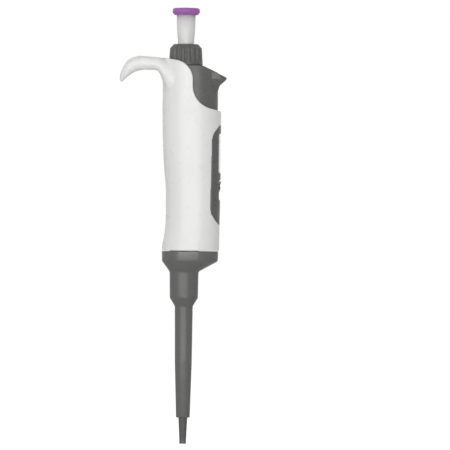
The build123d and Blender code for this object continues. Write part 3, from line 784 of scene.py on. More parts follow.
@dataclass
class HandleShell:
    """The white moulded shell with its curved rim, finger hook, panel opening and knob well."""

    trunk: Trunk
    finish: MouldedPlastic = MouldedPlastic(
        "shell_white",
        (221, 221, 220),
        roughness=0.3,
        grain_mm=0.2,
        grain_depth_mm=0.01,
        mottle=0.012,
        glow=0.12,
        shine=0.4,
    )
    wall: float = 1.5
    rim: tuple[tuple[float, float, float], ...] = (
        (-22.0, 107.9, 0.0),
        (4.0, 102.9, 11.0),
        (4.0, 80.5, 13.0),
        (26.0, 75.0, 0.0),
        (26.0, -1.0, 0.0),
        (-22.0, -1.0, 0.0),
    )
    hook: tuple[HookSection, ...] = (
        HookSection((2.0, 102.6), (-4.0, 82.4), 20.4),
        HookSection((-5.4, 104.2), (-10.2, 86.6), 20.4),
        HookSection((-10.8, 105.4), (-12.9, 93.7), 18.6),
        HookSection((-15.5, 106.1), (-15.4, 98.75), 18.4),
        HookSection((-20.6, 106.5), (-20.2, 99.4), 17.8),
        HookSection((-26.1, 106.65), (-24.6, 99.2), 16.6),
        HookSection((-31.2, 104.8), (-28.2, 98.1), 15.2),
        HookSection((-34.0, 101.4), (-31.2, 96.2), 13.6),
        HookSection((-35.7, 97.7), (-33.5, 94.1), 11.4),
        HookSection((-36.3, 94.1), (-34.8, 92.7), 8.6),
    )
    hook_corner: float = 0.42
    deck: tuple[float, float] = (95.3, 99.8)
    well_r: float = 10.05
    boss_r: float = 8.3
    bore_r: float = 7.25
    hood_rear: float = 0.3
    panel_size: Point = (18.1, 55.1)
    panel_middle: float = 41.7
    grid: float = 0.3

    def side_cut(self) -> bpy.types.Object:
        """Builds the prism whose upper edge is the rim, seen from the side."""
        corners = [(x, self.trunk.foot + height, radius) for x, height, radius in self.rim]
        return prism("rim_cut", eased(corners, steps=16), Axis.Y, -16.0, 16.0)

    def hook_form(self) -> bpy.types.Object:
        """Builds the finger hook as a skinned run of rounded sections with a blunt tip."""
        places = [float(index) for index in range(len(self.hook))]
        rings = []
        fine = 8
        for step in range((len(self.hook) - 1) * fine + 1):
            place = step / fine
            values = [
                between(places, [pick(section) for section in self.hook], place)
                for pick in (
                    lambda section: section.outer[0],
                    lambda section: section.outer[1],
                    lambda section: section.inner[0],
                    lambda section: section.inner[1],
                    lambda section: section.width,
                )
            ]
            rings.append(self.hook_ring(*values))
        tip, before = rings[-1], rings[-2]
        centre = sum(tip, Vector()) / len(tip)
        ahead = (centre - sum(before, Vector()) / len(before)).normalized()
        for share, reach in ((0.94, 0.25), (0.8, 0.45), (0.55, 0.6)):
            rings.append([centre + (point - centre) * share + ahead * reach for point in tip])
        return skin("hook_form", rings)

    def hook_ring(self, ox: float, oz: float, ix: float, iz: float, width: float) -> Ring:
        """Lays a rounded rectangle between the hook's outer and inner edge.

        Args:
            ox: X of the outer edge.
            oz: Height of the outer edge over the handle's lower edge.
            ix: X of the inner edge.
            iz: Height of the inner edge.
            width: Width along Y.

        Returns:
            The ring of points.
        """
        outer, inner = Vector((ox, 0, self.trunk.foot + oz)), Vector((ix, 0, self.trunk.foot + iz))
        middle, across = (outer + inner) / 2, (outer - inner) / 2
        depth = across.length
        radius = min(2 * depth, width) * self.hook_corner
        half = width / 2
        flat = eased(
            [
                (-depth, -half, radius),
                (depth, -half, radius),
                (depth, half, radius),
                (-depth, half, radius),
            ],
            8,
        )
        return [middle + across.normalized() * first + Vector((0, second, 0)) for first, second in flat]

    def build(self) -> bpy.types.Object:
        """Builds and dresses the shell.

        Returns:
            The finished piece.
        """
        trunk, foot = self.trunk, self.trunk.foot
        shell = trunk.form("white_shell", 0.0, foot, trunk.top)
        combine(shell, self.side_cut(), Cut.KEEP)
        combine(shell, self.hook_form(), Cut.JOIN)
        combine(shell, self.hollow(), Cut.REMOVE)
        low, high = (foot + level for level in self.deck)
        combine(shell, slot_prism("opening", self.panel_size, foot + self.panel_middle), Cut.REMOVE)
        combine(shell, turned("well", box_outline(0, self.well_r, high, trunk.top + 9)), Cut.REMOVE)
        combine(shell, turned("bush_bore", box_outline(0, self.bore_r, low - 1, high + 1)), Cut.REMOVE)
        mould(shell, self.grid, 3)
        self.soften_root(shell)
        return dress(shell, self.finish, "handle", "shell_white", "handle_shell")

    def hollow(self) -> bpy.types.Object:
        """Builds the space inside the shell, which leaves the deck and its boss standing."""
        trunk, foot = self.trunk, self.trunk.foot
        low, high = (foot + level for level in self.deck)
        space = trunk.form("hollow", self.wall, foot - 0.02, trunk.top + 0.02)
        rear = [(-30.0, -20.0), (self.hood_rear, -20.0), (self.hood_rear, 20.0), (-30.0, 20.0)]
        combine(space, prism("rear_block", rear, Axis.Z, low, trunk.top + 9), Cut.REMOVE)
        combine(space, turned("boss", box_outline(0, self.boss_r, low, high)), Cut.REMOVE)
        return space

    def soften_root(self, shell: bpy.types.Object) -> None:
        """Blends the hook's root into the back of the shell and evens the hook's thin tip."""
        foot = self.trunk.foot
        root_x, root_spread, root_low, root_high = -9.6, 3.6, 83, 109
        tip_x, tip_fade = -31.0, 3.0

        def share(place: Vector) -> float:
            """Share of the smoothing at a place of the shell."""
            x, height = place.x / MM, place.z / MM - foot
            beside = root_low < height < root_high
            near = math.exp(-(((x - root_x) / root_spread) ** 2)) if beside else 0.0
            return max(near, min(1.0, (tip_x - x) / tip_fade))

        blend(shell, share, 24)


def box_outline(inner: float, outer: float, low: float, high: float) -> list[Point]:
    """Corners of a plain ring's section, or of a disc where the inner radius is 0."""
    return [(inner, low), (outer, low), (outer, high), (inner, high)]


def slot_prism(
    name: str,
    size: Point,
    middle: float,
    corner: float | None = None,
    depth: float = 10.8,
    reach: float = 24.0,
) -> bpy.types.Object:
    """Pushes a rounded upright front outline along X.

    Args:
        name: Name of the new object.
        size: Width and height of the outline.
        middle: Height of its middle.
        corner: Corner radius; a full half circle at each end where none is given.
        depth: Where the prism starts.
        reach: Where it ends.

    Returns:
        The object.
    """
    half_width, half_height = size[0] / 2, size[1] / 2
    radius = half_width * 0.999 if corner is None else corner
    corners = [
        (-half_width, middle - half_height, radius),
        (half_width, middle - half_height, radius),
        (half_width, middle + half_height, radius),
        (-half_width, middle + half_height, radius),
    ]
    return prism(name, eased(corners, steps=14), Axis.X, depth, reach)


# ------------------------------------------------------------------ window panel and counter


@dataclass
class WindowPanel:
    """The grey panel let into the front, with its window, clear lens, finger scoop and lock."""

    trunk: Trunk
    finish: MouldedPlastic = MouldedPlastic(
        "panel_grey", (89, 89, 88), roughness=0.3, grain_mm=0.25, grain_depth_mm=0.012, mottle=0.04
    )
    lens: ClearPlastic = ClearPlastic("lens_clear")
    lock: MouldedPlastic = MouldedPlastic(
        "lock_black", (22, 22, 22), roughness=0.4, grain_mm=0.3, mottle=0.05
    )
    size: Point = (17.8, 54.8)
    middle: float = 41.7
    depth: float = 2.6
    window: Point = (8.8, 21.6)
    window_middle: float = 53.6
    window_corner: float = 1.4
    window_ledge: float = 0.7
    lens_depth: float = 1.3
    lens_inset: float = 0.3
    scoop_floor: float = 18.85
    scoop_low: float = 28.1
    scoop_high: float = 38.5
    scoop_rake: float = 0.7
    scoop_width: float = 11.4
    slot_width: float = 3.2
    grid: float = 0.2

    def build(self) -> list[bpy.types.Object]:
        """Builds the panel, its lens and the lock's grip.

        Returns:
            The finished pieces.
        """
        return [self.panel(), self.lens_piece(), self.lock_piece()]

    def panel(self) -> bpy.types.Object:
        """Cuts the panel from the handle's form."""
        trunk, foot = self.trunk, self.trunk.foot
        middle, window_middle = foot + self.middle, foot + self.window_middle
        low, high = middle - self.size[1] / 2 - 1, middle + self.size[1] / 2 + 1
        panel = trunk.form("window_panel", 0.0, low, high)
        combine(panel, slot_prism("outline", self.size, middle), Cut.KEEP)
        combine(panel, trunk.form("back", self.depth, low - 1, high + 1), Cut.REMOVE)
        combine(panel, trunk.form("skirt_room", 1.5, foot + 64.2, high + 1), Cut.REMOVE)
        ledge = self.window_ledge
        inner = (self.window[0] - 2 * ledge, self.window[1] - 2 * ledge)
        combine(panel, slot_prism("hole", inner, window_middle, self.window_corner), Cut.REMOVE)
        combine(panel, self.lens_block("seat", -0.2, 0.05), Cut.REMOVE)
        combine(panel, self.scoop(), Cut.REMOVE)
        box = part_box("lock_slider")
        travel = next(joint for joint in FRAME["joints"] if joint["name"] == "lock_slide")["range_m"][1] / MM
        slot_low, slot_high = box[0].z / MM - travel + 1.8, box[1].z / MM - 1.8
        slot_size = (self.slot_width, slot_high - slot_low)
        combine(panel, slot_prism("slot", slot_size, (slot_low + slot_high) / 2), Cut.REMOVE)
        mould(panel, self.grid, 3)
        return dress(panel, self.finish, "handle", "panel_grey", "front_panel")

    def scoop(self) -> bpy.types.Object:
        """Builds the block that cuts the finger scoop, with raked ends."""
        foot, front = self.trunk.foot, 21.0
        rise = (front - self.scoop_floor) * self.scoop_rake
        outline = eased(
            [
                (self.scoop_floor, foot + self.scoop_low, 0.7),
                (front, foot + self.scoop_low - rise, 0.0),
                (front, foot + self.scoop_high + rise, 0.0),
                (self.scoop_floor, foot + self.scoop_high, 0.7),
            ]
        )
        return prism("scoop", outline, Axis.Y, -self.scoop_width / 2, self.scoop_width / 2)

    def lens_block(self, name: str, inset: float, ease: float) -> bpy.types.Object:
        """Cuts the lens's form between an inset and its back, larger by an ease where it is the seat."""
        trunk, middle = self.trunk, self.trunk.foot + self.window_middle
        low, high = middle - self.window[1] / 2 - 2, middle + self.window[1] / 2 + 2
        block = trunk.form(name, inset, low, high)
        combine(block, trunk.form("lens_back", self.lens_depth + ease, low - 1, high + 1), Cut.REMOVE)
        size = (self.window[0] + 2 * ease, self.window[1] + 2 * ease)
        combine(block, slot_prism("lens_outline", size, middle, self.window_corner + ease), Cut.KEEP)
        return block

    def lens_piece(self) -> bpy.types.Object:
        """Builds the clear lens with eased edges."""
        lens = self.lens_block("clear_lens", self.lens_inset, 0.0)
        bevel = lens.modifiers.new("edges", "BEVEL")
        bevel.width = 0.12 * MM
        bevel.segments = 2
        bevel.limit_method = "ANGLE"
        bevel.angle_limit = math.radians(50)
        settle(lens)
        return dress(lens, self.lens, "handle", "lens_clear", "window_lens")

    def lock_piece(self) -> bpy.types.Object:
        """Builds the lock's grip with its two saw teeth, its neck and its plate."""
        low, high = (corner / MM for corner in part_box("lock_slider"))
        grip_low, grip_high = low.z + 1.1, high.z - 1.1
        back, tip = self.scoop_floor + 0.1, high.x
        mid = (grip_low + grip_high) / 2
        half = high.y
        profile = eased(
            [
                (back, grip_high, 0.12),
                (back, grip_low, 0.12),
                (tip - 0.75, grip_low, 0.12),
                (tip - 0.15, mid - 0.4, 0.14),
                (tip - 0.75, mid, 0.1),
                (tip, grip_high - 0.4, 0.14),
                (tip - 0.35, grip_high, 0.1),
            ],
            steps=4,
        )
        grip = prism("lock_grip", profile, Axis.Y, -half, half)
        combine(grip, slot_prism("lock_neck", (2.6, 3.4), mid, 0.3, low.x + 0.5, back + 0.4), Cut.JOIN)
        plate = slot_prism("lock_plate", (2 * half, high.z - low.z), mid, 0.6, low.x, low.x + 1.1)
        combine(grip, plate, Cut.JOIN)
        bevel = grip.modifiers.new("edges", "BEVEL")
        bevel.width = 0.16 * MM
        bevel.segments = 3
        bevel.limit_method = "ANGLE"
        bevel.angle_limit = math.radians(60)
        settle(grip)
        return dress(grip, self.lock, "lock", "lock_black", "lock_slider")


@dataclass(frozen=True)
class NumberDrum:
    """One number drum: its node, its body and the place on its row of digits that shows at rest."""

    node: str
    body: str
    shown: float


@dataclass
class Counter:
    """The three number drums with their raised digits."""

    drums: tuple[NumberDrum, ...] = (
        NumberDrum("units_drum", "units", 0.0),
        NumberDrum("tens_drum", "tens", 1.0),
        NumberDrum("hundreds_drum", "hundreds", 1.1),
    )
    finish: MouldedPlastic = MouldedPlastic(
        "drum_black", (38, 38, 40), roughness=0.5, grain_mm=0.25, mottle=0.05
    )
    print_finish: MouldedPlastic = MouldedPlastic(
        "digit_white", (232, 232, 226), roughness=0.55, grain_depth_mm=0.004
    )
    digit_height: float = 3.9
    print_depth: float = 0.03

    def build(self) -> list[bpy.types.Object]:
        """Builds each drum and its digits.

        Returns:
            The finished pieces.
        """
        pieces = []
        for drum in self.drums:
            pieces.append(self.drum_piece(drum))
            pieces.append(self.digits(drum))
        return pieces

    def measure(self, drum: NumberDrum) -> tuple[float, float, float, float]:
        """Reads a drum's axis along X, radius, lower end and upper end from the frame."""
        low, high = (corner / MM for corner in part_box(drum.node))
        return (low.x + high.x) / 2, (high.y - low.y) / 2, low.z, high.z

    def drum_piece(self, drum: NumberDrum) -> bpy.types.Object:
        """Builds a drum as a cup round its hub, with eased rims."""
        x, radius, low, high = self.measure(drum)
        outline = eased(
            [
                (1.05, low, 0.0),
                (radius, low, 0.2),
                (radius, high, 0.2),
                (radius - 0.8, high, 0.15),
                (radius - 0.8, low + 1.2, 0.2),
                (2.0, low + 1.2, 0.2),
                (2.0, high, 0.15),
                (1.05, high, 0.0),
            ],
            steps=3,
        )
        body = turned(f"{drum.node}_body", outline, 72, x)
        return dress(body, self.finish, drum.body, "drum_black", drum.node)

    def digits(self, drum: NumberDrum) -> bpy.types.Object:
        """Lays the ten digits round a drum as thin print on its surface."""
        x, radius, low, high = self.measure(drum)
        made = []
        for digit in range(10):
            around = math.radians(36 * (digit - drum.shown))
            made.append(self.one_digit(str(digit), around, x, radius, (low + high) / 2))
        bpy.ops.object.select_all(action="DESELECT")
        for piece in made:
            piece.select_set(True)
        bpy.context.view_layer.objects.active = made[0]
        bpy.ops.object.join()
        row = made[0]
        row.name = f"{drum.node}_digits"
        return dress(row, self.print_finish, drum.body, "drum_black")

    def one_digit(self, text: str, around: float, x: float, radius: float, middle: float) -> bpy.types.Object:
        """Wraps one digit round a drum.

        Args:
            text: The digit.
            around: Angle of its middle from the front.
            x: The drum's axis along X.
            radius: The drum's radius.
            middle: Height of the digit's middle.

        Returns:
            The digit's mesh.
        """
        curve = bpy.data.curves.new("digit", "FONT")
        curve.body = text
        curve.size = self.digit_height / 0.72
        curve.align_x = "CENTER"
        curve.extrude = self.print_depth
        curve.resolution_u = 3
        holder = bpy.data.objects.new("digit", curve)
        bpy.context.scene.collection.objects.link(holder)
        mesh = bpy.data.meshes.new_from_object(holder.evaluated_get(bpy.context.evaluated_depsgraph_get()))
        bpy.data.objects.remove(holder)
        work = bmesh.new()
        work.from_mesh(mesh)
        long = [edge for edge in work.edges if abs(edge.verts[0].co.x - edge.verts[1].co.x) > 0.5]
        bmesh.ops.subdivide_edges(work, edges=long, cuts=3)
        for vertex in work.verts:
            across, up, out = vertex.co
            turn = around + across / radius
            reach = radius + out + self.print_depth * 0.5
            up -= self.digit_height / 2
            vertex.co = Vector((x + reach * math.cos(turn), reach * math.sin(turn), middle + up)) * MM
        work.to_mesh(mesh)
        work.free()
        piece = bpy.data.objects.new("digit", mesh)
        bpy.context.scene.collection.objects.link(piece)
        return piece


# ------------------------------------------------------------------ knob and button


@dataclass
class VolumeKnob:
    """The ribbed grey knob with rounded flutes under a chamfered shoulder."""

    finish: MouldedPlastic = MouldedPlastic(
        "knob_grey",
        (88, 88, 87),
        roughness=0.28,
        grain_mm=0.2,
        grain_depth_mm=0.012,
        mottle=0.04,
        rubbed=0.05,
    )
    flutes: int = 18
    flute_depth: float = 0.75
    flute_share: float = 0.62
    flute_low: float = 2.4
    steps_per_flute: int = 16
    high_r: float = 8.75
    top_r: float = 6.6
    shoulder_drop: float = 2.4
    bore_r: float = 5.5
    socket_r: float = 7.2
    roof: float = 2.8

    def build(self) -> list[bpy.types.Object]:
        """Builds and dresses the knob."""
        low, high = (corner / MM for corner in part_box("volume_knob"))
        low_r = high.y
        shoulder = high.z - self.shoulder_drop
        outline = eased(
            [
                (self.socket_r, low.z, 0.1),
                (low_r, low.z, 0.35),
                (self.high_r, shoulder, 0.8),
                (self.top_r, high.z, 0.45),
                (self.bore_r + 0.25, high.z - 0.35, 0.2),
                (self.bore_r, high.z - self.roof, 0.0),
                (self.socket_r, high.z - self.roof, 0.0),
            ],
            steps=6,
        )
        fine: list[Point] = []
        for index, (radius, height) in enumerate(outline):
            after = outline[(index + 1) % len(outline)]
            rows = max(1, round(abs(after[1] - height) / 0.35)) if radius > self.socket_r else 1
            for row in range(rows):
                share = row / rows
                fine.append((radius + (after[0] - radius) * share, height + (after[1] - height) * share))
        sides = self.flutes * self.steps_per_flute
        outlines = []
        for step in range(sides):
            angle = 2 * math.pi * step / sides
            phase = abs((step / self.steps_per_flute) % 1.0 - 0.5) * 2
            ring = []
            for radius, height in fine:
                deep = self.flute_at(phase, height - low.z - self.flute_low, radius, low_r)
                reach = radius - deep
                ring.append(Vector((reach * math.cos(angle), reach * math.sin(angle), height)))
            outlines.append(ring)
        return [dress(hooped("ribbed_knob", outlines), self.finish, "knob", "knob_grey", "volume_knob")]

    def flute_at(self, phase: float, height: float, radius: float, low_r: float) -> float:
        """Depth of a flute at a place on the knob.

        Args:
            phase: 0 in the middle of a flute and 1 in the middle of a rib.
            height: Height over the flutes' lower ends.
            radius: Plain radius there.
            low_r: Radius at the knob's lower edge.

        Returns:
            How far the surface is cut back.
        """
        if radius < self.top_r - 0.3 or height < -0.9:
            return 0.0
        half = self.flute_share
        round_off = min(1.0, max(0.0, (height + 0.9) / 1.8))
        width = half * math.sqrt(max(1e-6, 1 - (1 - round_off) ** 2))
        if phase >= width:
            return 0.0
        return self.flute_depth * math.sqrt(1 - (phase / width) ** 2) * math.sqrt(round_off)


@dataclass
class PushButton:
    """The white stem and the round-edged purple cap."""

    stem: MouldedPlastic = MouldedPlastic(
        "stem_white", (212, 212, 211), roughness=0.3, grain_depth_mm=0.004, mottle=0.012, glow=0.2
    )
    cap: MouldedPlastic = MouldedPlastic(
        "cap_purple",
        (152, 92, 162),
        roughness=0.22,
        grain_mm=0.25,
        grain_depth_mm=0.006,
        mottle=0.03,
        glow=0.06,
    )
    low_r: float = 4.35
    middle_r: float = 5.0
    middle_rise: float = 7.6
    wall: float = 1.3
    plug: float = 2.6

    def build(self) -> list[bpy.types.Object]:
        """Builds and dresses the stem and the cap."""
        low, high = (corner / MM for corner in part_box("button_stem"))
        top_r = high.y
        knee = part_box("volume_knob")[1].z / MM
        outside = [
            (self.low_r, low.z),
            (self.low_r, knee),
            (self.middle_r, knee + self.middle_rise),
            (top_r, high.z),
        ]
        eases = (0.4, 2.0, 6.0, 0.0)
        inside = [(radius - self.wall, height) for radius, height in outside[1:]]
        stem_outline = eased(
            [
                (0.0, low.z, 0.0),
                *[(*corner, ease) for corner, ease in zip(outside, eases)],
                *[(*corner, ease) for corner, ease in zip(inside[::-1], (0.0, 6.0, 2.0))],
                (self.low_r - self.wall, low.z + self.plug, 0.4),
                (0.0, low.z + self.plug, 0.0),
            ],
            steps=6,
        )
        stem = dress(turned("white_stem", stem_outline), self.stem, "plunger", "stem_white", "button_stem")
        base, crown = (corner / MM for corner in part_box("button_cap"))
        radius = crown.y
        cap_outline = eased(
            [
                (0.0, base.z, 0.0),
                (radius - 1.2, base.z, 0.9),
                (radius, base.z + 1.7, 1.5),
                (radius - 0.35, crown.z - 0.35, 1.9),
                (0.0, crown.z, 0.0),
            ],
            steps=8,
        )
        cap = dress(turned("purple_cap", cap_outline, 128), self.cap, "plunger", "cap_purple", "button_cap")
        return [stem, cap]


# ------------------------------------------------------------------ ejector and shaft


@dataclass
class EjectorHood:
    """The grey hood in front of the knob, with its flared thumb pad."""

    trunk: Trunk
    finish: MouldedPlastic = MouldedPlastic(
        "ejector_grey",
        (90, 90, 89),
        roughness=0.3,
        grain_mm=0.22,
        grain_depth_mm=0.012,
        mottle=0.04,
        rubbed=0.04,
    )
    inset: float = 1.8
    wall: float = 1.3
    rear: float = 0.6
    slope_start: float = 9.2
    tip: Point = (22.7, 95.1)
    under_tip: Point = (22.4, 94.2)
    rake: Point = (18.7, 90.9)
    foot: Point = (17.75, 87.4)
    foot_width: float = 9.2
    pad_width: float = 15.0
    pad_corner: float = 5.0
    roof: float = 1.8
    hole_r: float = 8.75
    grid: float = 0.25

    def build(self) -> list[bpy.types.Object]:
        """Builds and dresses the hood."""
        trunk, level = self.trunk, self.trunk.foot
        low, high = (corner.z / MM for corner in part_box("ejector_button"))
        tip_z = level + self.tip[1]
        hood = trunk.form("ejector_hood", self.inset, low, trunk.top)
        side = [
            (self.rear, low - 1, 0.0),
            (24.0, low - 1, 0.0),
            (24.0, tip_z, 0.0),
            (self.slope_start, high, 0.0),
            (self.rear, high, 0.0),
        ]
        combine(hood, prism("hood_side", eased(side), Axis.Y, -16, 16), Cut.KEEP)
        combine(hood, self.pad(high), Cut.JOIN)
        inner = trunk.form("hood_room", self.inset + self.wall, low - 1, trunk.top)
        room = [
            (-4.0, low - 2, 0.0),
            (24.0, low - 2, 0.0),
            (24.0, tip_z - self.roof, 0.0),
            (self.slope_start, high - self.roof, 0.0),
            (-4.0, high - self.roof, 0.0),
        ]
        combine(inner, prism("room_side", eased(room), Axis.Y, -16, 16), Cut.KEEP)
        combine(hood, inner, Cut.REMOVE)
        combine(hood, turned("knob_hole", box_outline(0, self.hole_r, low - 1, high + 1)), Cut.REMOVE)
        mould(hood, self.grid, 4)
        self.blend_pad(hood)
        return [dress(hood, self.finish, "ejector", "ejector_grey", "ejector_button")]

    def pad(self, high: float) -> bpy.types.Object:
        """Builds the thumb pad as a flared wedge with a rounded front."""
        level = self.trunk.foot
        flat = [
            (0.0, -self.pad_width / 2, 0.0),
            (self.tip[0], -self.pad_width / 2, self.pad_corner),
            (self.tip[0], self.pad_width / 2, self.pad_corner),
            (0.0, self.pad_width / 2, 0.0),
        ]
        pad = prism("pad", eased(flat, 12), Axis.Z, level + self.foot[1], high)
        side = [
            (self.slope_start, level + self.foot[1], 0.0),
            (self.foot[0], level + self.foot[1], 0.8),
            (self.rake[0], level + self.rake[1], 1.6),
            (self.under_tip[0], level + self.under_tip[1], 0.3),
            (self.tip[0], level + self.tip[1], 0.3),
            (self.slope_start, high, 0.0),
        ]
        combine(pad, prism("pad_side", eased(side, 6), Axis.Y, -16, 16), Cut.KEEP)
        lip, half = level + self.under_tip[1], self.pad_width / 2
        front = [
            (-self.foot_width / 2, level + self.foot[1], 0.0),
            (self.foot_width / 2, level + self.foot[1], 0.0),
            (half, lip, 1.5),
            (half, high, 0.0),
            (-half, high, 0.0),
            (-half, lip, 1.5),
        ]
        combine(pad, prism("pad_front", eased(front, 6), Axis.X, 0, 24), Cut.KEEP)
        return pad

    def blend_pad(self, hood: bpy.types.Object) -> None:
        """Blends the pad's sides into the front of the hood."""
        lowest = self.trunk.foot + self.foot[1] - 2
        seam_x, spread = 14.0, 3.0

        def share(place: Vector) -> float:
            """Share of the smoothing at a place of the hood."""
            if place.z / MM <= lowest:
                return 0.0
            return math.exp(-(((place.x / MM - seam_x) / spread) ** 2))

        blend(hood, share, 40)


@dataclass(frozen=True)
class SleeveLevel:
    """One level of the ejector sleeve: height, rear, front, half width and corner radius."""

    z: float
    rear: float
    front: float
    half_width: float
    corner: float = 0.0


@dataclass
class EjectorSleeve:
    """The grey sleeve: thin tube, shoulder, barrel, flare and oval collar."""

    finish: MouldedPlastic = MouldedPlastic(
        "sleeve_grey", (97, 97, 96), roughness=0.2, grain_mm=0.2, grain_depth_mm=0.01, mottle=0.03
    )
    wall: float = 0.95
    sides: int = 128
    slim: tuple[float, float, float] = (3.8, 4.68, 4.95)
    barrel: tuple[float, float] = (7.76, 7.98)
    slim_length: float = 61.2
    shoulder: float = 4.6
    barrel_length: float = 14.4
    flare: float = 5.8
    collar_low: tuple[float, float, float] = (-12.2, 18.5, 12.2)
    collar_top: tuple[float, float, float] = (-12.4, 18.8, 12.4)
    drops: tuple[float, ...] = (0.0, 0.0, 0.3, 0.5, 0.4, 0.6, 0.0)
    inner_share: float = 0.6
    corner_reach: float = 0.45
    corner_steps: int = 6

    def levels(self) -> list[SleeveLevel]:
        """Lists the outside's levels from the thin end up."""
        low, high = (corner.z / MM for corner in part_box("ejector_sleeve"))

        def round_level(z: float, radius: float, corner: float) -> SleeveLevel:
            """A level with a round section."""
            return SleeveLevel(z, -radius, radius, radius, corner)

        shoulder = low + self.slim_length
        barrel = shoulder + self.shoulder
        flare = barrel + self.barrel_length
        collar = flare + self.flare
        return [
            round_level(low, self.slim[0], 0.55),
            round_level(low + self.slim_length / 2, self.slim[1], 20.0),
            round_level(shoulder, self.slim[2], 1.6),
            round_level(barrel, self.barrel[0], 1.6),
            round_level(flare, self.barrel[1], 1.8),
            SleeveLevel(collar, *self.collar_low, 1.8),
            SleeveLevel(high, *self.collar_top, 0.6),
        ]

    def build(self) -> list[bpy.types.Object]:
        """Builds and dresses the sleeve as one wall that runs up the outside and down the inside."""
        levels = self.levels()
        outlines = []
        for step in range(self.sides):
            angle = 2 * math.pi * step / self.sides
            outside = [self.spot(level, angle, 0.0, level.z) for level in levels]
            inside = [
                self.spot(level, angle, self.wall, level.z + drop) for level, drop in zip(levels, self.drops)
            ]
            corners = outside + inside[::-1]
            outlines.append(self.rounded(corners, [level.corner for level in levels]))
        sleeve = hooped("grey_sleeve", outlines)
        return [dress(sleeve, self.finish, "ejector", "sleeve_grey", "ejector_sleeve")]

    def spot(self, level: SleeveLevel, angle: float, inset: float, z: float) -> Vector:
        """Point of a level's oval at an angle, moved in by an inset."""
        centre = (level.rear + level.front) / 2
        long, wide = (level.front - level.rear) / 2 - inset, level.half_width - inset
        return Vector((centre + long * math.cos(angle), wide * math.sin(angle), z))

    def rounded(self, corners: Sequence[Vector], radii: Sequence[float]) -> Ring:
        """Rounds the outline at one angle round the sleeve, always with as many points.

        Args:
            corners: Outside corners going up, then inside corners coming down.
            radii: Radius of each outside corner.

        Returns:
            The outline's points.
        """
        both = list(radii) + [radius * self.inner_share for radius in reversed(radii)]
        ring: Ring = []
        count = len(corners)
        for index, corner in enumerate(corners):
            before = corners[index - 1] - corner
            after = corners[(index + 1) % count] - corner
            opening = before.angle(after)
            reach = min(
                both[index] / math.tan(opening / 2) if opening < math.pi - 1e-3 else 0.0,
                before.length * self.corner_reach,
                after.length * self.corner_reach,
            )
            start = corner + before.normalized() * max(reach, 1e-3)
            end = corner + after.normalized() * max(reach, 1e-3)
            for step in range(self.corner_steps + 1):
                share = step / self.corner_steps
                ring.append(start.lerp(corner, share).lerp(corner.lerp(end, share), share))
        return ring


@dataclass
class Shaft:
    """The grey shaft, of which only the tip cone shows below the sleeve."""

    finish: MouldedPlastic = MouldedPlastic(
        "cone_grey", (86, 85, 84), roughness=0.24, grain_mm=0.18, grain_depth_mm=0.006, mottle=0.03
    )

    def build(self) -> list[bpy.types.Object]:
        """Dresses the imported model's own shaft."""
        shaft = FRAME["nodes"]["shaft"]
        paint(shaft, self.finish)
        return [shaft]


def paint(node: bpy.types.Object, finish: Finish) -> None:
    """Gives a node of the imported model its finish."""
    if not node.material_slots:
        node.data.materials.append(None)
    for place in node.material_slots:
        place.material = finish.material()
    node.data.shade_smooth()


# ------------------------------------------------------------------ inner pieces


class Inner(Enum):
    """Finishes of the pieces inside."""

    ACETAL = MouldedPlastic("acetal", (196, 195, 190), roughness=0.42, grain_depth_mm=0.005, mottle=0.02)
    STEEL = MachinedMetal("ground_steel", (200, 200, 203))
    WIRE = MachinedMetal("spring_wire", (172, 173, 176), roughness=0.34)
    BRASS = MachinedMetal("turned_brass", (205, 170, 98), roughness=0.26)
    PTFE = MouldedPlastic("ptfe", (232, 231, 226), roughness=0.5, grain_depth_mm=0.004, mottle=0.01, glow=0.2)
    NITRILE = MouldedPlastic("nitrile", (30, 30, 31), roughness=0.6, grain_mm=0.15, mottle=0.05)


@dataclass
class Mechanism:
    """The pieces inside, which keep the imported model's own shapes."""

    finishes: dict[Inner, tuple[str, ...]] = field(
        default_factory=lambda: {
            Inner.ACETAL: (
                "chassis", "knob_bush", "counter_frame", "shaft_nut", "seal_retainer",
                "drive_sleeve", "drive_gear", "piston_head", "counter_pinion", "lock_wheel",
                "ejector_link",
            ),
            Inner.STEEL: (
                "thrust_washer", "blowout_ring", "volume_spindle", "push_rod", "rod_collar",
                "piston", "counter_shaft", "link_pins",
            ),
            Inner.WIRE: ("blowout_spring", "return_spring", "ejector_spring", "sleeve_clip"),
            Inner.BRASS: ("spindle_nut",),
            Inner.PTFE: ("piston_seal",),
            Inner.NITRILE: ("seal_o_ring",),
        }
    )

    def build(self) -> list[bpy.types.Object]:
        """Dresses each inner node."""
        pieces = []
        for finish, names in self.finishes.items():
            for name in names:
                paint(FRAME["nodes"][name], finish.value)
                pieces.append(FRAME["nodes"][name])
        return pieces


# ------------------------------------------------------------------ studio


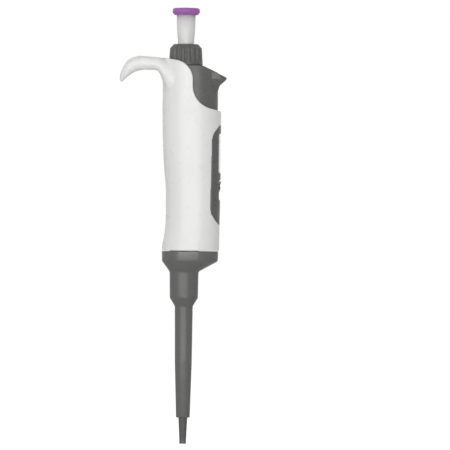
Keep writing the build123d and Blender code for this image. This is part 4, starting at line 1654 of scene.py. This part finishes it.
@dataclass
class Studio:
    """Camera, soft lamps, white surroundings and a pale floor.

    Args:
        frame_px: Width and height of the picture in pixels.
        mm_per_px: Size of one pixel at the pipette.
        lean_deg: How far the pipette leans in the picture.
        middle: X and Z of the point in the middle of the picture, in millimetres.
        lens: Focal length of the camera, long enough for an almost parallel view.
    """

    frame_px: int = 450
    mm_per_px: float = 0.55
    lean_deg: float = 0.487
    middle: Point = (22.3, 120.45)
    lens: float = 500.0
    floor_drop: float = 4.0
    surround: float = 0.5

    def camera(self) -> None:
        """Places the camera square to the pipette's side."""
        data = bpy.data.cameras.new("camera")
        data.lens = self.lens
        data.clip_end = 20.0
        distance = self.frame_px * self.mm_per_px * self.lens / data.sensor_width
        camera = bpy.data.objects.new("camera", data)
        camera.location = Vector((self.middle[0], -distance, self.middle[1])) * MM
        lean = Matrix.Rotation(math.radians(self.lean_deg), 4, "Z")
        upright = Matrix.Rotation(math.radians(90), 4, "X")
        camera.rotation_euler = (upright @ lean).to_euler()
        bpy.context.scene.collection.objects.link(camera)
        bpy.context.scene.camera = camera

    def light(self) -> None:
        """Hangs the lamps: a broad strip in front, a little to the left, and a soft one above."""
        lamps = (
            ("strip", (-0.2, -1.6, 0.12), (2.2, 0.45), 18.8),
            ("top", (-0.3, -0.5, 1.3), (0.9, 0.9), 1.0),
        )
        for name, place, size, power in lamps:
            data = bpy.data.lights.new(name, "AREA")
            data.shape = "RECTANGLE"
            data.size, data.size_y = size
            data.energy = power
            lamp = bpy.data.objects.new(name, data)
            lamp.visible_camera = False
            lamp.location = place
            aim = Vector((0.0, 0.0, 0.13)) - Vector(place)
            lamp.rotation_euler = aim.to_track_quat("-Z", "Y").to_euler()
            bpy.context.scene.collection.objects.link(lamp)

    def surroundings(self) -> None:
        """Makes the world white where the camera or a reflection sees it and soft grey elsewhere."""
        world = bpy.data.worlds.new("studio")
        bpy.context.scene.world = world
        world.use_nodes = True
        tree = world.node_tree
        shade = tree.nodes["Background"]
        shade.inputs["Color"].default_value = (1.0, 1.0, 1.0, 1.0)
        strength = seen_or(tree, 1.0, self.surround)
        tree.links.new(strength, shade.inputs["Strength"])

    def floor(self) -> None:
        """Lays a pale floor that keeps a soft shadow and runs out into the white."""
        half = 6000.0
        corners = [(-half, -half), (half, -half), (half, half), (-half, half)]
        floor = prism("floor", corners, Axis.Z, -self.floor_drop - 20.0, -self.floor_drop)
        material = bpy.data.materials.new("pale_floor")
        material.use_nodes = True
        tree = material.node_tree
        shader = tree.nodes["Principled BSDF"]
        shader.inputs["Base Color"].default_value = (0.9, 0.9, 0.9, 1.0)
        shader.inputs["Roughness"].default_value = 0.9
        shader.inputs["Emission Color"].default_value = (1.0, 1.0, 1.0, 1.0)
        tree.links.new(seen_or(tree, 0.57, 0.0, ("Is Transmission Ray",)), shader.inputs["Emission Strength"])
        floor.data.materials.append(material)

    def build(self) -> None:
        """Sets up the camera, the lamps, the surroundings and the floor."""
        self.camera()
        self.light()
        self.surroundings()
        self.floor()
        bpy.context.scene.view_settings.view_transform = "Standard"


def seen_or(
    tree: bpy.types.NodeTree,
    seen: float,
    otherwise: float,
    rays: tuple[str, ...] = ("Is Glossy Ray", "Is Transmission Ray"),
) -> bpy.types.NodeSocket:
    """Adds a value that differs for camera rays and for the named other rays.

    Args:
        tree: The node tree.
        seen: Value for those rays.
        otherwise: Value for the light itself.
        rays: Outputs of the light path that count as seen beside the camera's.

    Returns:
        The value.
    """
    path = tree.nodes.new("ShaderNodeLightPath")
    either = path.outputs["Is Camera Ray"]
    for name in rays:
        larger = tree.nodes.new("ShaderNodeMath")
        larger.operation = "MAXIMUM"
        tree.links.new(either, larger.inputs[0])
        tree.links.new(path.outputs[name], larger.inputs[1])
        either = larger.outputs[0]
    node = tree.nodes.new("ShaderNodeMapRange")
    node.inputs["To Min"].default_value = otherwise
    node.inputs["To Max"].default_value = seen
    tree.links.new(either, node.inputs["Value"])
    return node.outputs["Result"]


def main() -> None:
    """Builds the studio and each sub-assembly in order."""
    logging.basicConfig(level=logging.INFO, format="%(name)s: %(message)s")
    Studio().build()
    trunk = Trunk()
    for assembly in (
        HandleShell(trunk),
        WindowPanel(trunk),
        Counter(),
        VolumeKnob(),
        PushButton(),
        EjectorHood(trunk),
        EjectorSleeve(),
        Shaft(),
        Mechanism(),
    ):
        LOG.info("building %s", type(assembly).__name__)
        assembly.build()


if __name__ == "__main__":
    main()
